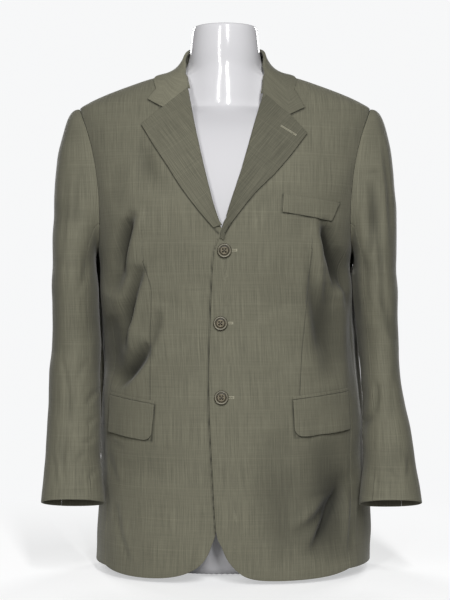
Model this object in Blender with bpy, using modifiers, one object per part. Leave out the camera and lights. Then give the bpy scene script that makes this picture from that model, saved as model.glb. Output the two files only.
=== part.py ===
"""A single-breasted three-button blazer worn by a limbless torso form.

The garment's outer surface is one loft of oval sections, from the hem up over the padded
shoulders to the neck. Every panel is a patch of that surface between its own seams, given a
wall of cloth. On a section, an angle of 0 is the wearer's side, 90 the centre front and -90 the
centre back. The wearer's left is +X (side 1), the front faces -Y and the form stands on Z = 0.
Lengths here are millimetres, and MM turns them into metres where a mesh is made.
"""

import math

import bmesh
import bpy
import numpy as np
from mathutils import Vector

MM = 0.001
CLOTH = 2.0  # wall of the cloth with its canvas and lining
SEAM = 0.4  # clear space between two pieces along a seam
LYING = 0.5  # clear space under a piece that lies on a panel
UNDERLAP = 2.8  # how far the right front sinks where it passes under the left one
UNDERLAP_START = (-62, 562)  # the place across the body and the height where it starts to sink
UNDERLAP_EASE = (34, 30)  # and over how much it does so, across and down

# ---- the garment's surface: a row of each list for every section, from hem to neck ----------
GARMENT = {
    "z":      (15, 110, 200, 290, 380, 450, 480, 505, 560, 610,
               650, 685, 704, 720, 728, 741, 758, 766, 773, 780, 790),
    "width":  (214, 212, 205, 199, 196, 195, 194, 196, 204, 212,
               218, 223, 225, 224, 213, 186, 141, 117, 89, 75, 63),
    "front":  (173, 177, 175, 173, 163, 158, 155, 151, 143, 132,
               119, 103, 91, 79, 73, 64, 53, 48, 44, 41, 39),
    "back":   (98, 97, 93, 82, 70, 76, 84, 92, 107, 115,
               116, 111, 104, 96, 90, 80, 69, 64, 59, 56, 53),
    "side_y": (46, 48, 46, 45, 40, 32, 26, 20, 12, 9,
               8, 8, 8, 9, 9, 9, 9, 9, 9, 9, 9),
    "lean":   (12, 15, 11, 9, 5, 2, 0, 0, 0, 0, 0, 0, 0, 0, 0, 0, 0, 0, 0, 0, 0),
    "square": (2.3, 2.3, 2.3, 2.3, 2.35, 2.4, 2.4, 2.4, 2.4, 2.35,
               2.3, 2.2, 2.1, 2.0, 2.0, 2.0, 2.0, 2.0, 2.0, 2.0, 2.0),
}

# ---- the torso form: how far it stays inside the garment's surface, then its own neck --------
FORM_EASE = {
    "z":     (0, 60, 200, 290, 380, 450, 505, 610, 685, 704, 716, 728, 741, 758, 766, 773, 780, 790),
    "side":  (66, 62, 57, 52, 50, 48, 36, 23, 15, 16, 22, 24, 18, 15, 15, 14, 13, 6),
    "front": (64, 47, 34, 30, 26, 18, 14, 9, 12, 22, 25, 19, 10, 0, -4, -8, -10, -12),
    "back":  (42, 34, 22, 16, 14, 12, 12, 8, 6.5, 6, 5.8, 5.6, 5.6, 5.8, 6, 6, 6, 6),
    "front_square": (2.2, 2.2, 2.2, 2.2, 2.2, 2.2, 2.2, 2.2, 2.1,
                     2.0, 1.95, 1.85, 1.7, 1.6, 1.55, 1.55, 1.6, 1.9),
}
FORM_SEGMENTS = 28
FORM_LEAN = 0.3  # the form leans with the garment's hem only a little
FORM_LEVELS = (10, 22, 60, 120, 200, 290, 340, 380, 420, 450, 480, 505, 530, 560, 610, 640, 665, 685,
               700, 709, 717, 724, 732, 741, 750, 758, 766, 773, 781, 790)
NECK = {
    "z":      (803, 818, 834, 841, 845, 846),
    "width":  (54, 53, 51, 50, 48.5, 46.5),
    "depth":  (50, 49, 48, 47.5, 46, 44),
    "side_y": (6, 4, 2.5, 2, 2, 2),
}

# ---- seams on the surface ---------------------------------------------------------------------
GROUND_Z = 10  # the surface that the form stands on
FRONT_HEM_Z = 15.5
SIDE_HEM_Z = 25
SHOULDER_TIP_Z = 720
SHOULDER_DIP = 1.15  # above 1, the shoulder seam drops faster towards the tip
NECK_POINT_Z = 784
NAPE_Z = 789
ARMHOLE = {"middle": 609.5, "half_height": 110.5, "front_reach": 27, "back_reach": 31}
ARMHOLE_SQUARENESS = 0.85
ARMHOLE_CALM = 0.22  # how far off the seam the folds reach their height, as a share of the armhole
ARMHOLE_LOOP = 28  # segments round the armhole, from the shoulder tip round by the front
FRONT_SEAM_TURN = 10  # where the front meets the side panel, in segments of the loop
BACK_SEAM_TURN = 18
SEAM_ROWS = 15
EVENING_STEPS = 60
FRONT_COLUMNS = 15
ROLL_SETBACK = 1.5  # how far a front stops short of its roll line
BACK_COLUMNS = 12
BACK_NECK_COLUMNS = 5
# The seams in front of and behind the side panels, as angles. The wearer's right one hangs
# further round.
SIDE_SEAM = {
    "z":           (15, 200, 380, 500),
    "front_left":  (39, 30, 22, 18),
    "front_right": (27, 25, 20, 18),
    "back":        (-34, -30, -27, -22),
}

FRONT_SEAM = {1: "front_left", -1: "front_right"}
HEM_CORNER = {1: 14, -1: 6}  # how quickly each front's rounded corner runs out into its hem

# Front edges from the hem corner up to the lapel's break, as heights and places across the body.
LEFT_EDGE = {"z": (25, 34, 48, 66, 88, 170, 250, 309, 426, 484, 500, 515),
             "x": (25, 14, 3, -5, -13, -18, -22, -23.5, -20, -17, -14, -8)}
RIGHT_EDGE = {"z": (31, 39, 52, 68, 88, 150, 220, 284, 400, 484, 500, 515),
              "x": (-47, -36, -26, -19.5, -13, 1, 9, 13, 14, 13, 10, 4)}
# Roll lines from the break up to the neck, and lapel edges up to the tip, measured out from the middle.
LEFT_ROLL = {"z": (515, 531, 548, 573, 610, 652, 691, 733, 768),
             "x": (-8, -2.5, 3.6, 13.2, 25.4, 37.6, 46.5, 56, 61)}
RIGHT_ROLL = {"z": (515, 536, 544, 568, 605, 651, 692, 733, 768),
              "x": (-4, 5, 9.6, 16.9, 26, 37, 46, 55, 61)}
LEFT_LAPEL = {"z": (512, 529, 556, 583, 612, 642, 672), "x": (-2, 3, 23, 45, 74, 99, 121)}
RIGHT_LAPEL = {"z": (523, 531, 558, 590, 622, 656, 686), "x": (10, 17, 40, 64, 84, 106, 124)}
LEFT_NOTCH = {"gorge": (56.5, 736), "notch": (96, 701), "tip": (121, 672), "collar_tip": (119, 713)}
RIGHT_NOTCH = {"gorge": (56.5, 745), "notch": (93, 713), "tip": (124, 686), "collar_tip": (116, 727)}
LEFT_BREAK_Z = 517
RIGHT_BREAK_Z = 535

# ---- the largest folds, as soft troughs (negative depth) and ridges ---------------------------
# side 1 is the wearer's left; face 1 is the front; x runs out from the middle.
FOLDS = {
    "side":  (1, 1, 1, 1, 1, 1, -1, -1, -1, -1, -1, -1, 1, -1, 1, -1, -1),
    "face":  (1, 1, 1, 1, 1, -1, 1, 1, 1, 1, 1, -1, -1, -1, -1, -1, -1),
    "x0":    (150, 130, 142, 186, 198, 206, 140, 122, 128, 112, 176, 196, 140, 140, 90, 80, 194),
    "z0":    (532, 528, 470, 170, 440, 494, 540, 556, 474, 352, 400, 500, 560, 550, 330, 350, 512),
    "x1":    (180, 164, 146, 132, 198, 206, 168, 150, 150, 164, 172, 196, 164, 160, 150, 145, 194),
    "z1":    (440, 430, 350, 50, 280, 190, 436, 424, 388, 300, 312, 180, 430, 440, 300, 310, 430),
    "width": (15, 14, 20, 16, 11, 18, 14, 14, 15, 16, 15, 18, 22, 20, 24, 22, 12),
    "depth": (-12, 5, -6, -8, -6, 12, -11, 6, -8, -8, -8, 13, -8, -7, 4, 4, 5),
}

# ---- sleeves: oval sections down the arm, with x out from the middle ---------------------------
LEFT_SLEEVE = {
    "z":     (466, 420, 350, 310, 265, 215, 165, 122),
    "x":     (229.5, 232, 236, 238.5, 242, 245.5, 247.5, 247),
    "y":     (2, 3, 0, -9, -22, -38, -55, -70),
    "width": (34, 32.5, 30.5, 29.5, 31.5, 37, 41.5, 46.5),
    "depth": (74, 70, 64, 60, 55, 50, 46, 43),
}
RIGHT_SLEEVE = {
    "z":     (466, 420, 350, 310, 265, 215, 165, 123),
    "x":     (231, 230, 228.5, 230, 229.5, 229, 228, 227),
    "y":     (2, 3, 0, -9, -22, -38, -55, -70),
    "width": (33.5, 35, 37.5, 38, 39.5, 41, 43.5, 47),
    "depth": (74, 70, 64, 60, 55, 50, 46, 43),
}
SLEEVE_SQUARE = 2.2
CUFF_SLOPE = 0.25  # how much lower the cuff hangs towards the back
SLEEVE_FRONT_TURN = 10
SLEEVE_BACK_TURN = 20
CAP_ROWS = 7
ARM_ROWS = 12
BACK_SEAM_DRIFT = 3.0  # how far the elbow seam wanders outwards by the cuff, in loop segments
CAP_LEAN = {"at": (0, 90, 180, 270, 360), "degrees": (84, 46, 88, 46, 84)}
CAP_FULLNESS = 0.52

# ---- lapels, collar, pockets and buttons -----------------------------------------------------
LAPEL_ROWS = 14
LAPEL_COLUMNS = 6
LAPEL_SPRING = 2.0  # how far the lapel stands off the front along its roll
BREAK_DROP = 4
NOTCH_SHARE = 0.66  # the gorge's part of the lapel's top, the rest being the notch's lower side
COLLAR_STEPS = 17  # from a notch to the centre back
COLLAR_ROWS = 6
STAND_ROWS = 3
STAND_INSET = 0.7  # how far the stand's foot stands inside the neckline
STAND_TOP_INSET = 1.2
NECK_AXIS_Y = 4
# The neckline and the leaf's edge run on from the front to the centre back as (angle, z), and
# the fold stands in from the neckline and over it by the share of the way to the centre back.
NECKLINE_FRONT_Z = 764
NECKLINE = ((34.0, 777.0), (0.0, 784.0), (-45.0, 788.0), (-90.0, 789.0))
LEAF_CORNER = (104, 744)
LEAF_EDGE = ((34.0, 762.0), (0.0, 773.0), (-45.0, 772.0), (-90.0, 770.0))
# The leaf lies the lift clear of the body.
STAND = {
    "at":   (0, 0.2, 0.31, 0.45, 0.7, 1),
    "in":   (0, 0.5, 6, 10.5, 6, 2.5),
    "up":   (0.6, 3, 12, 22, 30, 31),
    "lift": (0.5, 0.6, 1.1, 1.6, 2.4, 2.4),
}
LEAF_FALL = 1.8  # how soon the leaf falls from its fold on to the body
STAND_FIRST = 5  # where the stand starts, in steps from the notch

# Corners measured out from the middle and up: top front, top side, bottom side, bottom front.
LEFT_FLAP = {"x": (99, 184, 186, 102), "z": (280, 289, 232, 225)}
RIGHT_FLAP = {"x": (103, 172, 174, 108), "z": (273, 283, 227, 218)}
WELT = {"x": (85, 170, 158, 83), "z": (581, 570, 543, 554)}
FLAP_COLUMNS = 12
FLAP_ROWS = 4
FLAP_CORNER = 14
JET_HEIGHT = 5
JET_WALL = 1.2
BUTTONS = {"x": (-1, -6.6, -5.2), "z": (498, 392, 284)}
BUTTON_SHANK = 0.4  # clear space under a button, where its thread runs
BUTTON_STEPS = 16
BUTTON_RADIUS = 10.5
BUTTON_HEIGHT = 3.6
BUTTON_DISH = 1.3
BUTTON_RIM = 2.6
BUTTON_TAPER = 1.5  # how much narrower its underside is
BUTTON_BEVEL = 1.2
BUTTON_SLOPE = 1.0  # from the rim down to the dish
HOLE_RADIUS = 0.95
HOLE_OFFSET = 1.9

CLOTH_COLOUR = (0.165, 0.155, 0.115)
BUTTON_COLOUR = (0.20, 0.15, 0.10)
FORM_COLOUR = (0.86, 0.86, 0.88)


# ---- curves read from the tables ----------------------------------------------------------------
def smooth(table, column, at):
    """Reads a column of a table at any height, on a curve that never overshoots its rows."""
    x = np.array(table["z" if "z" in table and "at" not in table else "at"], float)
    y = np.array(table[column], float)
    if x[0] > x[-1]:
        x, y = x[::-1], y[::-1]
    step = np.diff(x)
    rise = np.diff(y) / step
    before, after = np.append(rise[0], rise), np.append(rise, rise[-1])
    steepest = 3 * np.minimum(np.abs(before), np.abs(after)) * (before * after > 0)
    slope = np.clip((before + after) / 2, -steepest, steepest)
    at = np.clip(np.asarray(at, float), x[0], x[-1])
    i = np.clip(np.searchsorted(x, at, side="right") - 1, 0, len(step) - 1)
    t = (at - x[i]) / step[i]
    return ((1 + 2 * t) * (1 - t) ** 2 * y[i] + t * (1 - t) ** 2 * step[i] * slope[i]
            + t * t * (3 - 2 * t) * y[i + 1] - t * t * (1 - t) * step[i] * slope[i + 1])


# ---- the garment's surface ------------------------------------------------------------------------
def oval(angle, half_width, front, back, square):
    """A point of an oval section: how far across from its middle, and how far towards the back."""
    turn = np.radians(angle)
    across = np.sign(np.cos(turn)) * np.abs(np.cos(turn)) ** (2 / square) * half_width
    reach = np.abs(np.sin(turn)) ** (2 / square)
    return across, np.where(np.sin(turn) > 0, -reach * front, reach * back)


def bare_surface(side, angle, z):
    across, y = oval(angle, smooth(GARMENT, "width", z), smooth(GARMENT, "front", z),
                     smooth(GARMENT, "back", z), smooth(GARMENT, "square", z))
    x = side * across + smooth(GARMENT, "lean", z)
    return np.stack([x, y + smooth(GARMENT, "side_y", z), z * np.ones_like(x)], -1)


def fold_height(side, point, angle):
    """How far the folds lift the cloth at a point of the bare surface."""
    x, z = side * point[..., 0], point[..., 2]
    height = np.zeros_like(x)
    for i in np.flatnonzero(np.array(FOLDS["side"]) == side):
        x0, z0, x1, z1 = (FOLDS[column][i] for column in ("x0", "z0", "x1", "z1"))
        length = math.hypot(x1 - x0, z1 - z0)
        along = ((x - x0) * (x1 - x0) + (z - z0) * (z1 - z0)) / length ** 2
        across = ((x - x0) * (z1 - z0) - (z - z0) * (x1 - x0)) / length
        taper = np.clip(1 - np.abs(2 * along - 1) ** 3 / 1.3, 0, 1)
        facing = np.clip(FOLDS["face"][i] * np.sin(np.radians(angle)) * 6, 0, 1)
        height += FOLDS["depth"][i] * taper * facing * np.exp(-(across / FOLDS["width"][i]) ** 2)
    return height


def off_armhole(angle, z):
    """0 on the armhole seam, where the folds are sewn down, rising to 1 a little way off it."""
    reach = np.where(angle > 0, ARMHOLE["front_reach"], ARMHOLE["back_reach"])
    from_middle = np.hypot(angle / reach, (z - ARMHOLE["middle"]) / ARMHOLE["half_height"])
    return np.clip((from_middle - 1) / ARMHOLE_CALM, 0, 1)


def normal_of(surface, side, angle, z):
    """The surface's unit normal, pointing out."""
    along = surface(side, angle + 0.4, z) - surface(side, angle - 0.4, z)
    up = surface(side, angle, z + 0.8) - surface(side, angle, z - 0.8)
    normal = side * np.cross(up, along)
    return normal / np.linalg.norm(normal, axis=-1, keepdims=True)


def folded_surface(side, angle, z):
    point = bare_surface(side, angle, z)
    height = fold_height(side, point, angle) * off_armhole(angle, z)
    return point + normal_of(bare_surface, side, angle, z) * height[..., None]


def cloth_points(side, angle, z, lift):
    """Points of the folded surface, moved out along its normal by the lift."""
    lift = np.broadcast_to(lift, angle.shape)
    return folded_surface(side, angle, z) + normal_of(folded_surface, side, angle, z) * lift[..., None]


def angle_at(side, x, z):
    """The angle on the front where the surface lies at x, measured out from the body's middle."""
    share = np.clip((x - side * smooth(GARMENT, "lean", z)) / smooth(GARMENT, "width", z), -1, 1)
    share = np.sign(share) * np.abs(share) ** (smooth(GARMENT, "square", z) / 2)
    return np.degrees(np.arccos(share))


def on_front(side, points):
    """(x, z) points as (angle, z) points of the surface."""
    points = np.asarray(points, float)
    return np.stack([angle_at(side, points[..., 0], points[..., 1]), points[..., 1]], -1)


def even_line(side, line, rows):
    """A line of (angle, z) points read again at even steps along its real length."""
    points = bare_surface(side, line[:, 0], line[:, 1])
    length = np.append(0, np.cumsum(np.linalg.norm(np.diff(points, axis=0), axis=1)))
    at = np.linspace(0, length[-1], rows + 1)
    return np.stack([smooth({"at": length, "value": column}, "value", at) for column in line.T], -1)


def front_line(side, points):
    """The line on the front through (x, z) points, close-set enough to stay straight between them."""
    points = np.asarray(points, float)
    at = np.arange(len(points))
    closer = np.linspace(0, at[-1], 4 * at[-1] + 1)
    x, z = (smooth({"at": at, "value": column}, "value", closer) for column in points.T)
    return on_front(side, np.stack([x, z], -1))


def under_left_front(side, angle, z):
    """How far a point of the right front sinks to pass under the left one."""
    if side > 0:
        return np.zeros_like(angle)
    across = (bare_surface(side, angle, z)[..., 0] - UNDERLAP_START[0]) / UNDERLAP_EASE[0]
    down = (UNDERLAP_START[1] - z) / UNDERLAP_EASE[1]
    return UNDERLAP * np.clip(across, 0, 1) * np.clip(down, 0, 1)


# ---- patches and walls --------------------------------------------------------------------------
def patch(bottom, top, inner, outer):
    """Fills four edges with a grid. Bottom and top run from inner to outer, and the others up."""
    across = np.linspace(0, 1, len(bottom))[None, :, None]
    up = np.linspace(0, 1, len(inner))[:, None, None]
    ruled = ((1 - up) * bottom[None] + up * top[None]
             + (1 - across) * inner[:, None] + across * outer[:, None])
    corners = ((1 - up) * ((1 - across) * bottom[0] + across * bottom[-1])
               + up * ((1 - across) * top[0] + across * top[-1]))
    return ruled - corners


def evened(side, grid):
    """Slides a grid's inner points along the surface until each lies midway between its neighbours."""
    for _ in range(EVENING_STEPS):
        points = bare_surface(side, grid[..., 0], grid[..., 1])
        middle = (points[2:, 1:-1] + points[:-2, 1:-1] + points[1:-1, 2:] + points[1:-1, :-2]) / 4
        angle, z = grid[1:-1, 1:-1, 0], grid[1:-1, 1:-1, 1]
        along = bare_surface(side, angle + 0.5, z) - bare_surface(side, angle - 0.5, z)
        up = bare_surface(side, angle, z + 0.5) - bare_surface(side, angle, z - 0.5)
        slopes = np.stack([along, up], -1)
        slide = np.linalg.pinv(slopes) @ (middle - points[1:-1, 1:-1])[..., None]
        grid[1:-1, 1:-1] += 0.8 * slide[..., 0]
    return grid


def drawn_in(points, distance):
    """A grid of points with its four edges drawn in, which leaves room along its seams."""
    moved = points.copy()
    for edge, inside in ((np.s_[0], np.s_[1]), (np.s_[-1], np.s_[-2]),
                         (np.s_[:, 0], np.s_[:, 1]), (np.s_[:, -1], np.s_[:, -2])):
        step = points[inside] - points[edge]
        moved[edge] += distance * step / np.linalg.norm(step, axis=-1, keepdims=True)
    return moved


def grid_normals(points):
    """Unit normals of a grid of points, from its own slopes."""
    normal = np.cross(np.gradient(points, axis=1), np.gradient(points, axis=0))
    return normal / np.linalg.norm(normal, axis=-1, keepdims=True)


def add_object(name, mesh, material):
    mesh.materials.clear()
    mesh.materials.append(material)
    mesh.shade_smooth()
    mesh.set_sharp_from_angle(angle=math.radians(50))
    obj = bpy.data.objects.new(name, mesh)
    bpy.data.collections["blazer_on_form"].objects.link(obj)
    return obj


def metres(points):
    """Points in millimetres as points of a mesh, over the surface that the form stands on."""
    return (points - [0, 0, GROUND_Z]) * MM


def mesh_from(name, tool):
    bmesh.ops.recalc_face_normals(tool, faces=tool.faces)
    if tool.calc_volume(signed=True) < 0:
        bmesh.ops.reverse_faces(tool, faces=tool.faces)
    mesh = bpy.data.meshes.new(name)
    tool.to_mesh(mesh)
    tool.free()
    return mesh


def cloth_wall(name, outside, inside, material):
    """A wall of cloth between two grids of points, which are its two faces."""
    rows, columns = outside.shape[:2]
    wall = bmesh.new()
    bmesh.ops.create_grid(wall, x_segments=columns - 1, y_segments=rows - 1, size=1)
    bmesh.ops.triangulate(wall, faces=wall.faces, quad_method="FIXED")
    place = wall.verts.layers.int.new("place")
    for i, vert in enumerate(wall.verts):
        vert[place] = i
    extruded = bmesh.ops.extrude_face_region(wall, geom=wall.faces[:], use_keep_orig=True)
    far_side = {v for v in extruded["geom"] if isinstance(v, bmesh.types.BMVert)}
    outside, inside = metres(outside.reshape(-1, 3)), metres(inside.reshape(-1, 3))
    for vert in wall.verts:
        vert.co = (inside if vert in far_side else outside)[vert[place]]
    return add_object(name, mesh_from(name, wall), material)


def panel(name, side, grid, material, lift=0.0, wall=CLOTH):
    """A piece cut from the garment's surface. Its outer face lies the lift outside the surface."""
    angle, z = grid[..., 0], grid[..., 1]
    outside = drawn_in(cloth_points(side, angle, z, lift), SEAM / 2)
    inside = drawn_in(cloth_points(side, angle, z, lift - wall), SEAM / 2)
    return cloth_wall(name, outside, inside, material)


# ---- the body's seams, as rows of (angle, z) ---------------------------------------------------
def armhole_seam(turn):
    """Points of the armhole loop at turns counted in its segments."""
    turn = np.asarray(turn, float) * 2 * math.pi / ARMHOLE_LOOP
    reach = np.where(np.sin(turn) > 0, ARMHOLE["front_reach"], ARMHOLE["back_reach"])
    angle = reach * np.sign(np.sin(turn)) * np.abs(np.sin(turn)) ** ARMHOLE_SQUARENESS
    return np.stack([angle, ARMHOLE["middle"] + ARMHOLE["half_height"] * np.cos(turn)], -1)


def side_seam(column, top):
    """The seam in front of or behind the side panel, from the hem up to the armhole."""
    z = np.linspace(SIDE_HEM_Z, top[1], SEAM_ROWS + 1)
    angle = smooth(SIDE_SEAM, column, z)
    angle += (top[0] - angle[-1]) * ((z - SIDE_HEM_Z) / (top[1] - SIDE_HEM_Z)) ** 2
    return np.stack([angle, z], -1)


def outer_edge(column, turns):
    """A front's or back's outer edge: up the side seam, then round its part of the armhole."""
    armhole = armhole_seam(turns)
    return np.concatenate([side_seam(column, armhole[0]), armhole[1:]])


def shoulder_seam(columns):
    share = np.linspace(0, 1, columns + 1)
    return np.stack([0 * share, NECK_POINT_Z + (SHOULDER_TIP_Z - NECK_POINT_Z) * share ** SHOULDER_DIP], -1)


def front_edge(side, edge, roll, rows):
    """A front's inner edge: the front edge, the roll line, and on to the neck point."""
    below = np.stack([np.multiply(edge["x"], side), edge["z"]], -1)
    rolled = np.stack([np.add(roll["x"][1:], ROLL_SETBACK), roll["z"][1:]], -1)
    line = front_line(side, np.concatenate([below, rolled]))
    return even_line(side, np.concatenate([line, NECKLINE[:2]]), rows)


def front_grid(side, edge, roll):
    """A whole front: hem, side seam, armhole, shoulder seam, roll line and front edge."""
    outer = outer_edge(FRONT_SEAM[side], range(FRONT_SEAM_TURN, -1, -1))
    inner = front_edge(side, edge, roll, len(outer) - 1)
    share = np.linspace(0, 1, FRONT_COLUMNS + 1)
    corner = (inner[0, 1] - FRONT_HEM_Z) * np.exp(-share * HEM_CORNER[side]) * (1 - share)
    hem_z = FRONT_HEM_Z + corner + (outer[0, 1] - FRONT_HEM_Z) * share ** 4
    bottom = np.stack([inner[0, 0] + (outer[0, 0] - inner[0, 0]) * share, hem_z], -1)
    return evened(side, patch(bottom, shoulder_seam(FRONT_COLUMNS), inner, outer))


def side_grid(side):
    """The panel under the arm, between its two seams."""
    top = armhole_seam(range(FRONT_SEAM_TURN, BACK_SEAM_TURN + 1))
    front, back = side_seam(FRONT_SEAM[side], top[0]), side_seam("back", top[-1])
    return evened(side, patch(np.linspace(front[0], back[0], len(top)), top, front, back))


def back_grid(side):
    """Half of the back, from the centre seam out to the side seam and armhole."""
    outer = outer_edge("back", range(BACK_SEAM_TURN, ARMHOLE_LOOP + 1))
    centre = np.stack([np.full(len(outer), -90.0), np.linspace(SIDE_HEM_Z, NAPE_Z, len(outer))], -1)
    neck = np.linspace((-90.0, NAPE_Z), (0.0, NECK_POINT_Z), BACK_NECK_COLUMNS + 1)
    top = np.concatenate([neck, shoulder_seam(BACK_COLUMNS - BACK_NECK_COLUMNS)[1:]])
    return evened(side, patch(np.linspace(centre[0], outer[0], BACK_COLUMNS + 1), top, centre, outer))


def build_body(cloth):
    panel("front_left", 1, front_grid(1, LEFT_EDGE, LEFT_ROLL), cloth)
    right = front_grid(-1, RIGHT_EDGE, RIGHT_ROLL)
    panel("front_right", -1, right, cloth, lift=-under_left_front(-1, right[..., 0], right[..., 1]))
    for name, side in (("left", 1), ("right", -1)):
        panel("side_" + name, side, side_grid(side), cloth)
        panel("back_" + name, side, back_grid(side), cloth)


# ---- sleeves ------------------------------------------------------------------------------------
def armhole_frame(side, turn):
    """On the armhole seam: the point, the direction the sleeve leaves in, and the way round."""
    angle, z = np.moveaxis(armhole_seam(turn), -1, 0)
    point = folded_surface(side, angle, z)
    angle_on, z_on = np.moveaxis(armhole_seam(np.add(turn, 0.05)), -1, 0)
    angle_back, z_back = np.moveaxis(armhole_seam(np.subtract(turn, 0.05)), -1, 0)
    along = folded_surface(side, angle_on, z_on) - folded_surface(side, angle_back, z_back)
    normal = normal_of(bare_surface, side, angle, z)
    into_hole = side * np.cross(normal, along)
    into_hole /= np.linalg.norm(into_hole, axis=-1, keepdims=True)
    round_hole = np.mod(turn, ARMHOLE_LOOP) * 360 / ARMHOLE_LOOP
    lean = np.radians(smooth(CAP_LEAN, "degrees", round_hole))[..., None]
    return point, np.cos(lean) * into_hole + np.sin(lean) * normal


def arm_ring(side, sleeve, turn, z):
    """A point of the sleeve's lower part, round an oval section."""
    around = np.asarray(turn, float) * 360 / ARMHOLE_LOOP
    across, y = oval(around, smooth(sleeve, "width", z), smooth(sleeve, "depth", z),
                     smooth(sleeve, "depth", z), SLEEVE_SQUARE)
    x = side * (smooth(sleeve, "x", z) + across)
    drop = CUFF_SLOPE * y * (sleeve["z"][0] - z) / (sleeve["z"][0] - sleeve["z"][-1])
    return np.stack([x, y + smooth(sleeve, "y", z), z - drop], -1)


def sleeve_points(side, sleeve, turn, row):
    """The sleeve's surface: rows 0 to 1 are the cap, and rows 1 to 2 the arm down to the cuff."""
    turn, row = np.broadcast_arrays(np.asarray(turn, float), np.asarray(row, float))
    top_z, cuff_z = sleeve["z"][-1], sleeve["z"][0]
    start, leave = armhole_frame(side, turn)
    end = arm_ring(side, sleeve, turn, np.full_like(turn, cuff_z))
    reach = CAP_FULLNESS * np.linalg.norm(end - start, axis=-1, keepdims=True)
    t = np.clip(row, 0, 1)[..., None]
    down = np.array([0, 0, -1.0])
    cap = ((2 * t ** 3 - 3 * t ** 2 + 1) * start + (t ** 3 - 2 * t ** 2 + t) * reach * leave
           + (3 * t ** 2 - 2 * t ** 3) * end + (t ** 3 - t ** 2) * reach * down)
    arm = arm_ring(side, sleeve, turn, cuff_z + (top_z - cuff_z) * np.clip(row - 1, 0, 1))
    return np.where(row[..., None] <= 1, cap, arm)


def sleeve_normals(side, sleeve, turn, row):
    """The sleeve's unit normals, pointing out, read on the side of each row that is away from the ends."""
    around = sleeve_points(side, sleeve, turn + 0.05, row) - sleeve_points(side, sleeve, turn - 0.05, row)
    low, high = np.clip(row - 0.01, 0, 2), np.clip(row + 0.01, 0, 2)
    down = sleeve_points(side, sleeve, turn, high) - sleeve_points(side, sleeve, turn, low)
    normal = side * np.cross(around, down)
    return normal / np.linalg.norm(normal, axis=-1, keepdims=True)


def sleeve_back_turn(row):
    """The elbow seam's place round the sleeve, which wanders outwards on its way to the cuff."""
    return SLEEVE_BACK_TURN + BACK_SEAM_DRIFT * np.clip(row - 0.6, 0, 1.4) / 1.4


def sleeve_half(name, side, sleeve, half, cloth):
    """The top sleeve runs from the front seam over the shoulder, the under sleeve below the arm."""
    first = SLEEVE_FRONT_TURN
    over_shoulder = ARMHOLE_LOOP if half == "top" else 0
    rows = np.concatenate([np.linspace(0, 1, CAP_ROWS + 1), np.linspace(1, 2, ARM_ROWS + 1)[1:]])[:, None]
    last = sleeve_back_turn(rows) - over_shoulder
    columns = abs(SLEEVE_BACK_TURN - over_shoulder - first)
    turn = first + (last - first) * np.linspace(0, 1, columns + 1)
    outside = sleeve_points(side, sleeve, turn, rows)
    normal = sleeve_normals(side, sleeve, turn, rows)
    cloth_wall(name, drawn_in(outside, SEAM / 2), drawn_in(outside - CLOTH * normal, SEAM / 2), cloth)


def build_sleeves(cloth):
    for name, side, sleeve in (("left", 1, LEFT_SLEEVE), ("right", -1, RIGHT_SLEEVE)):
        for half in ("top", "under"):
            sleeve_half(f"{half}_sleeve_{name}", side, sleeve, half, cloth)


# ---- lapels and collar -----------------------------------------------------------------------
def between(table, low, high):
    """A table's (x, z) points between two heights, with its own smooth line's ends at both."""
    inside = [z for z in table["z"] if low < z < high]
    z = np.array([low, *inside, high], float)
    return np.stack([smooth(table, "x", z), z], -1)


def notched_end(side, notch, last, rows):
    """The line from the roll down the gorge to the notch, then out to a tip, on the front."""
    gorge_rows = round(rows * NOTCH_SHARE)
    gorge = even_line(side, front_line(side, [notch["gorge"], notch["notch"]]), gorge_rows)
    tip = even_line(side, front_line(side, [notch["notch"], notch[last]]), rows - gorge_rows)
    return np.concatenate([gorge, tip[1:]])


def build_lapel(name, side, roll, edge, notch, break_z, cloth):
    top = notched_end(side, notch, "tip", LAPEL_COLUMNS)
    inner = even_line(side, front_line(side, between(roll, break_z, notch["gorge"][1])), LAPEL_ROWS)
    edge_points = between(edge, break_z - BREAK_DROP, notch["tip"][1])
    outer = even_line(side, front_line(side, edge_points), LAPEL_ROWS)
    inner[-1], outer[-1] = top[0], top[-1]
    grid = evened(side, patch(np.linspace(inner[0], outer[0], LAPEL_COLUMNS + 1), top, inner, outer))
    spring = LAPEL_SPRING * np.linspace(1, 0, LAPEL_COLUMNS + 1)[None] ** 2
    sunk = under_left_front(side, grid[..., 0], grid[..., 1])
    panel(name, side, grid, cloth, lift=LYING + CLOTH + spring - sunk)


def collar_line(side, front_points, rest):
    """A line of the collar: (x, z) points on the front, then (angle, z) points to the centre back."""
    return even_line(side, np.concatenate([front_line(side, front_points), rest]), COLLAR_STEPS)


def towards_neck(points):
    """Level unit vectors from the points to the neck's axis."""
    towards = np.array([0, NECK_AXIS_Y, 0]) - points
    towards[:, 2] = 0
    return towards / np.linalg.norm(towards, axis=-1, keepdims=True)


def fold_offset(points, share):
    """From the neckline to the collar's fold: in towards the neck's axis, and up."""
    up = np.array([0, 0, 1.0])
    return (towards_neck(points) * smooth(STAND, "in", share)[:, None]
            + up * smooth(STAND, "up", share)[:, None])


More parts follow.
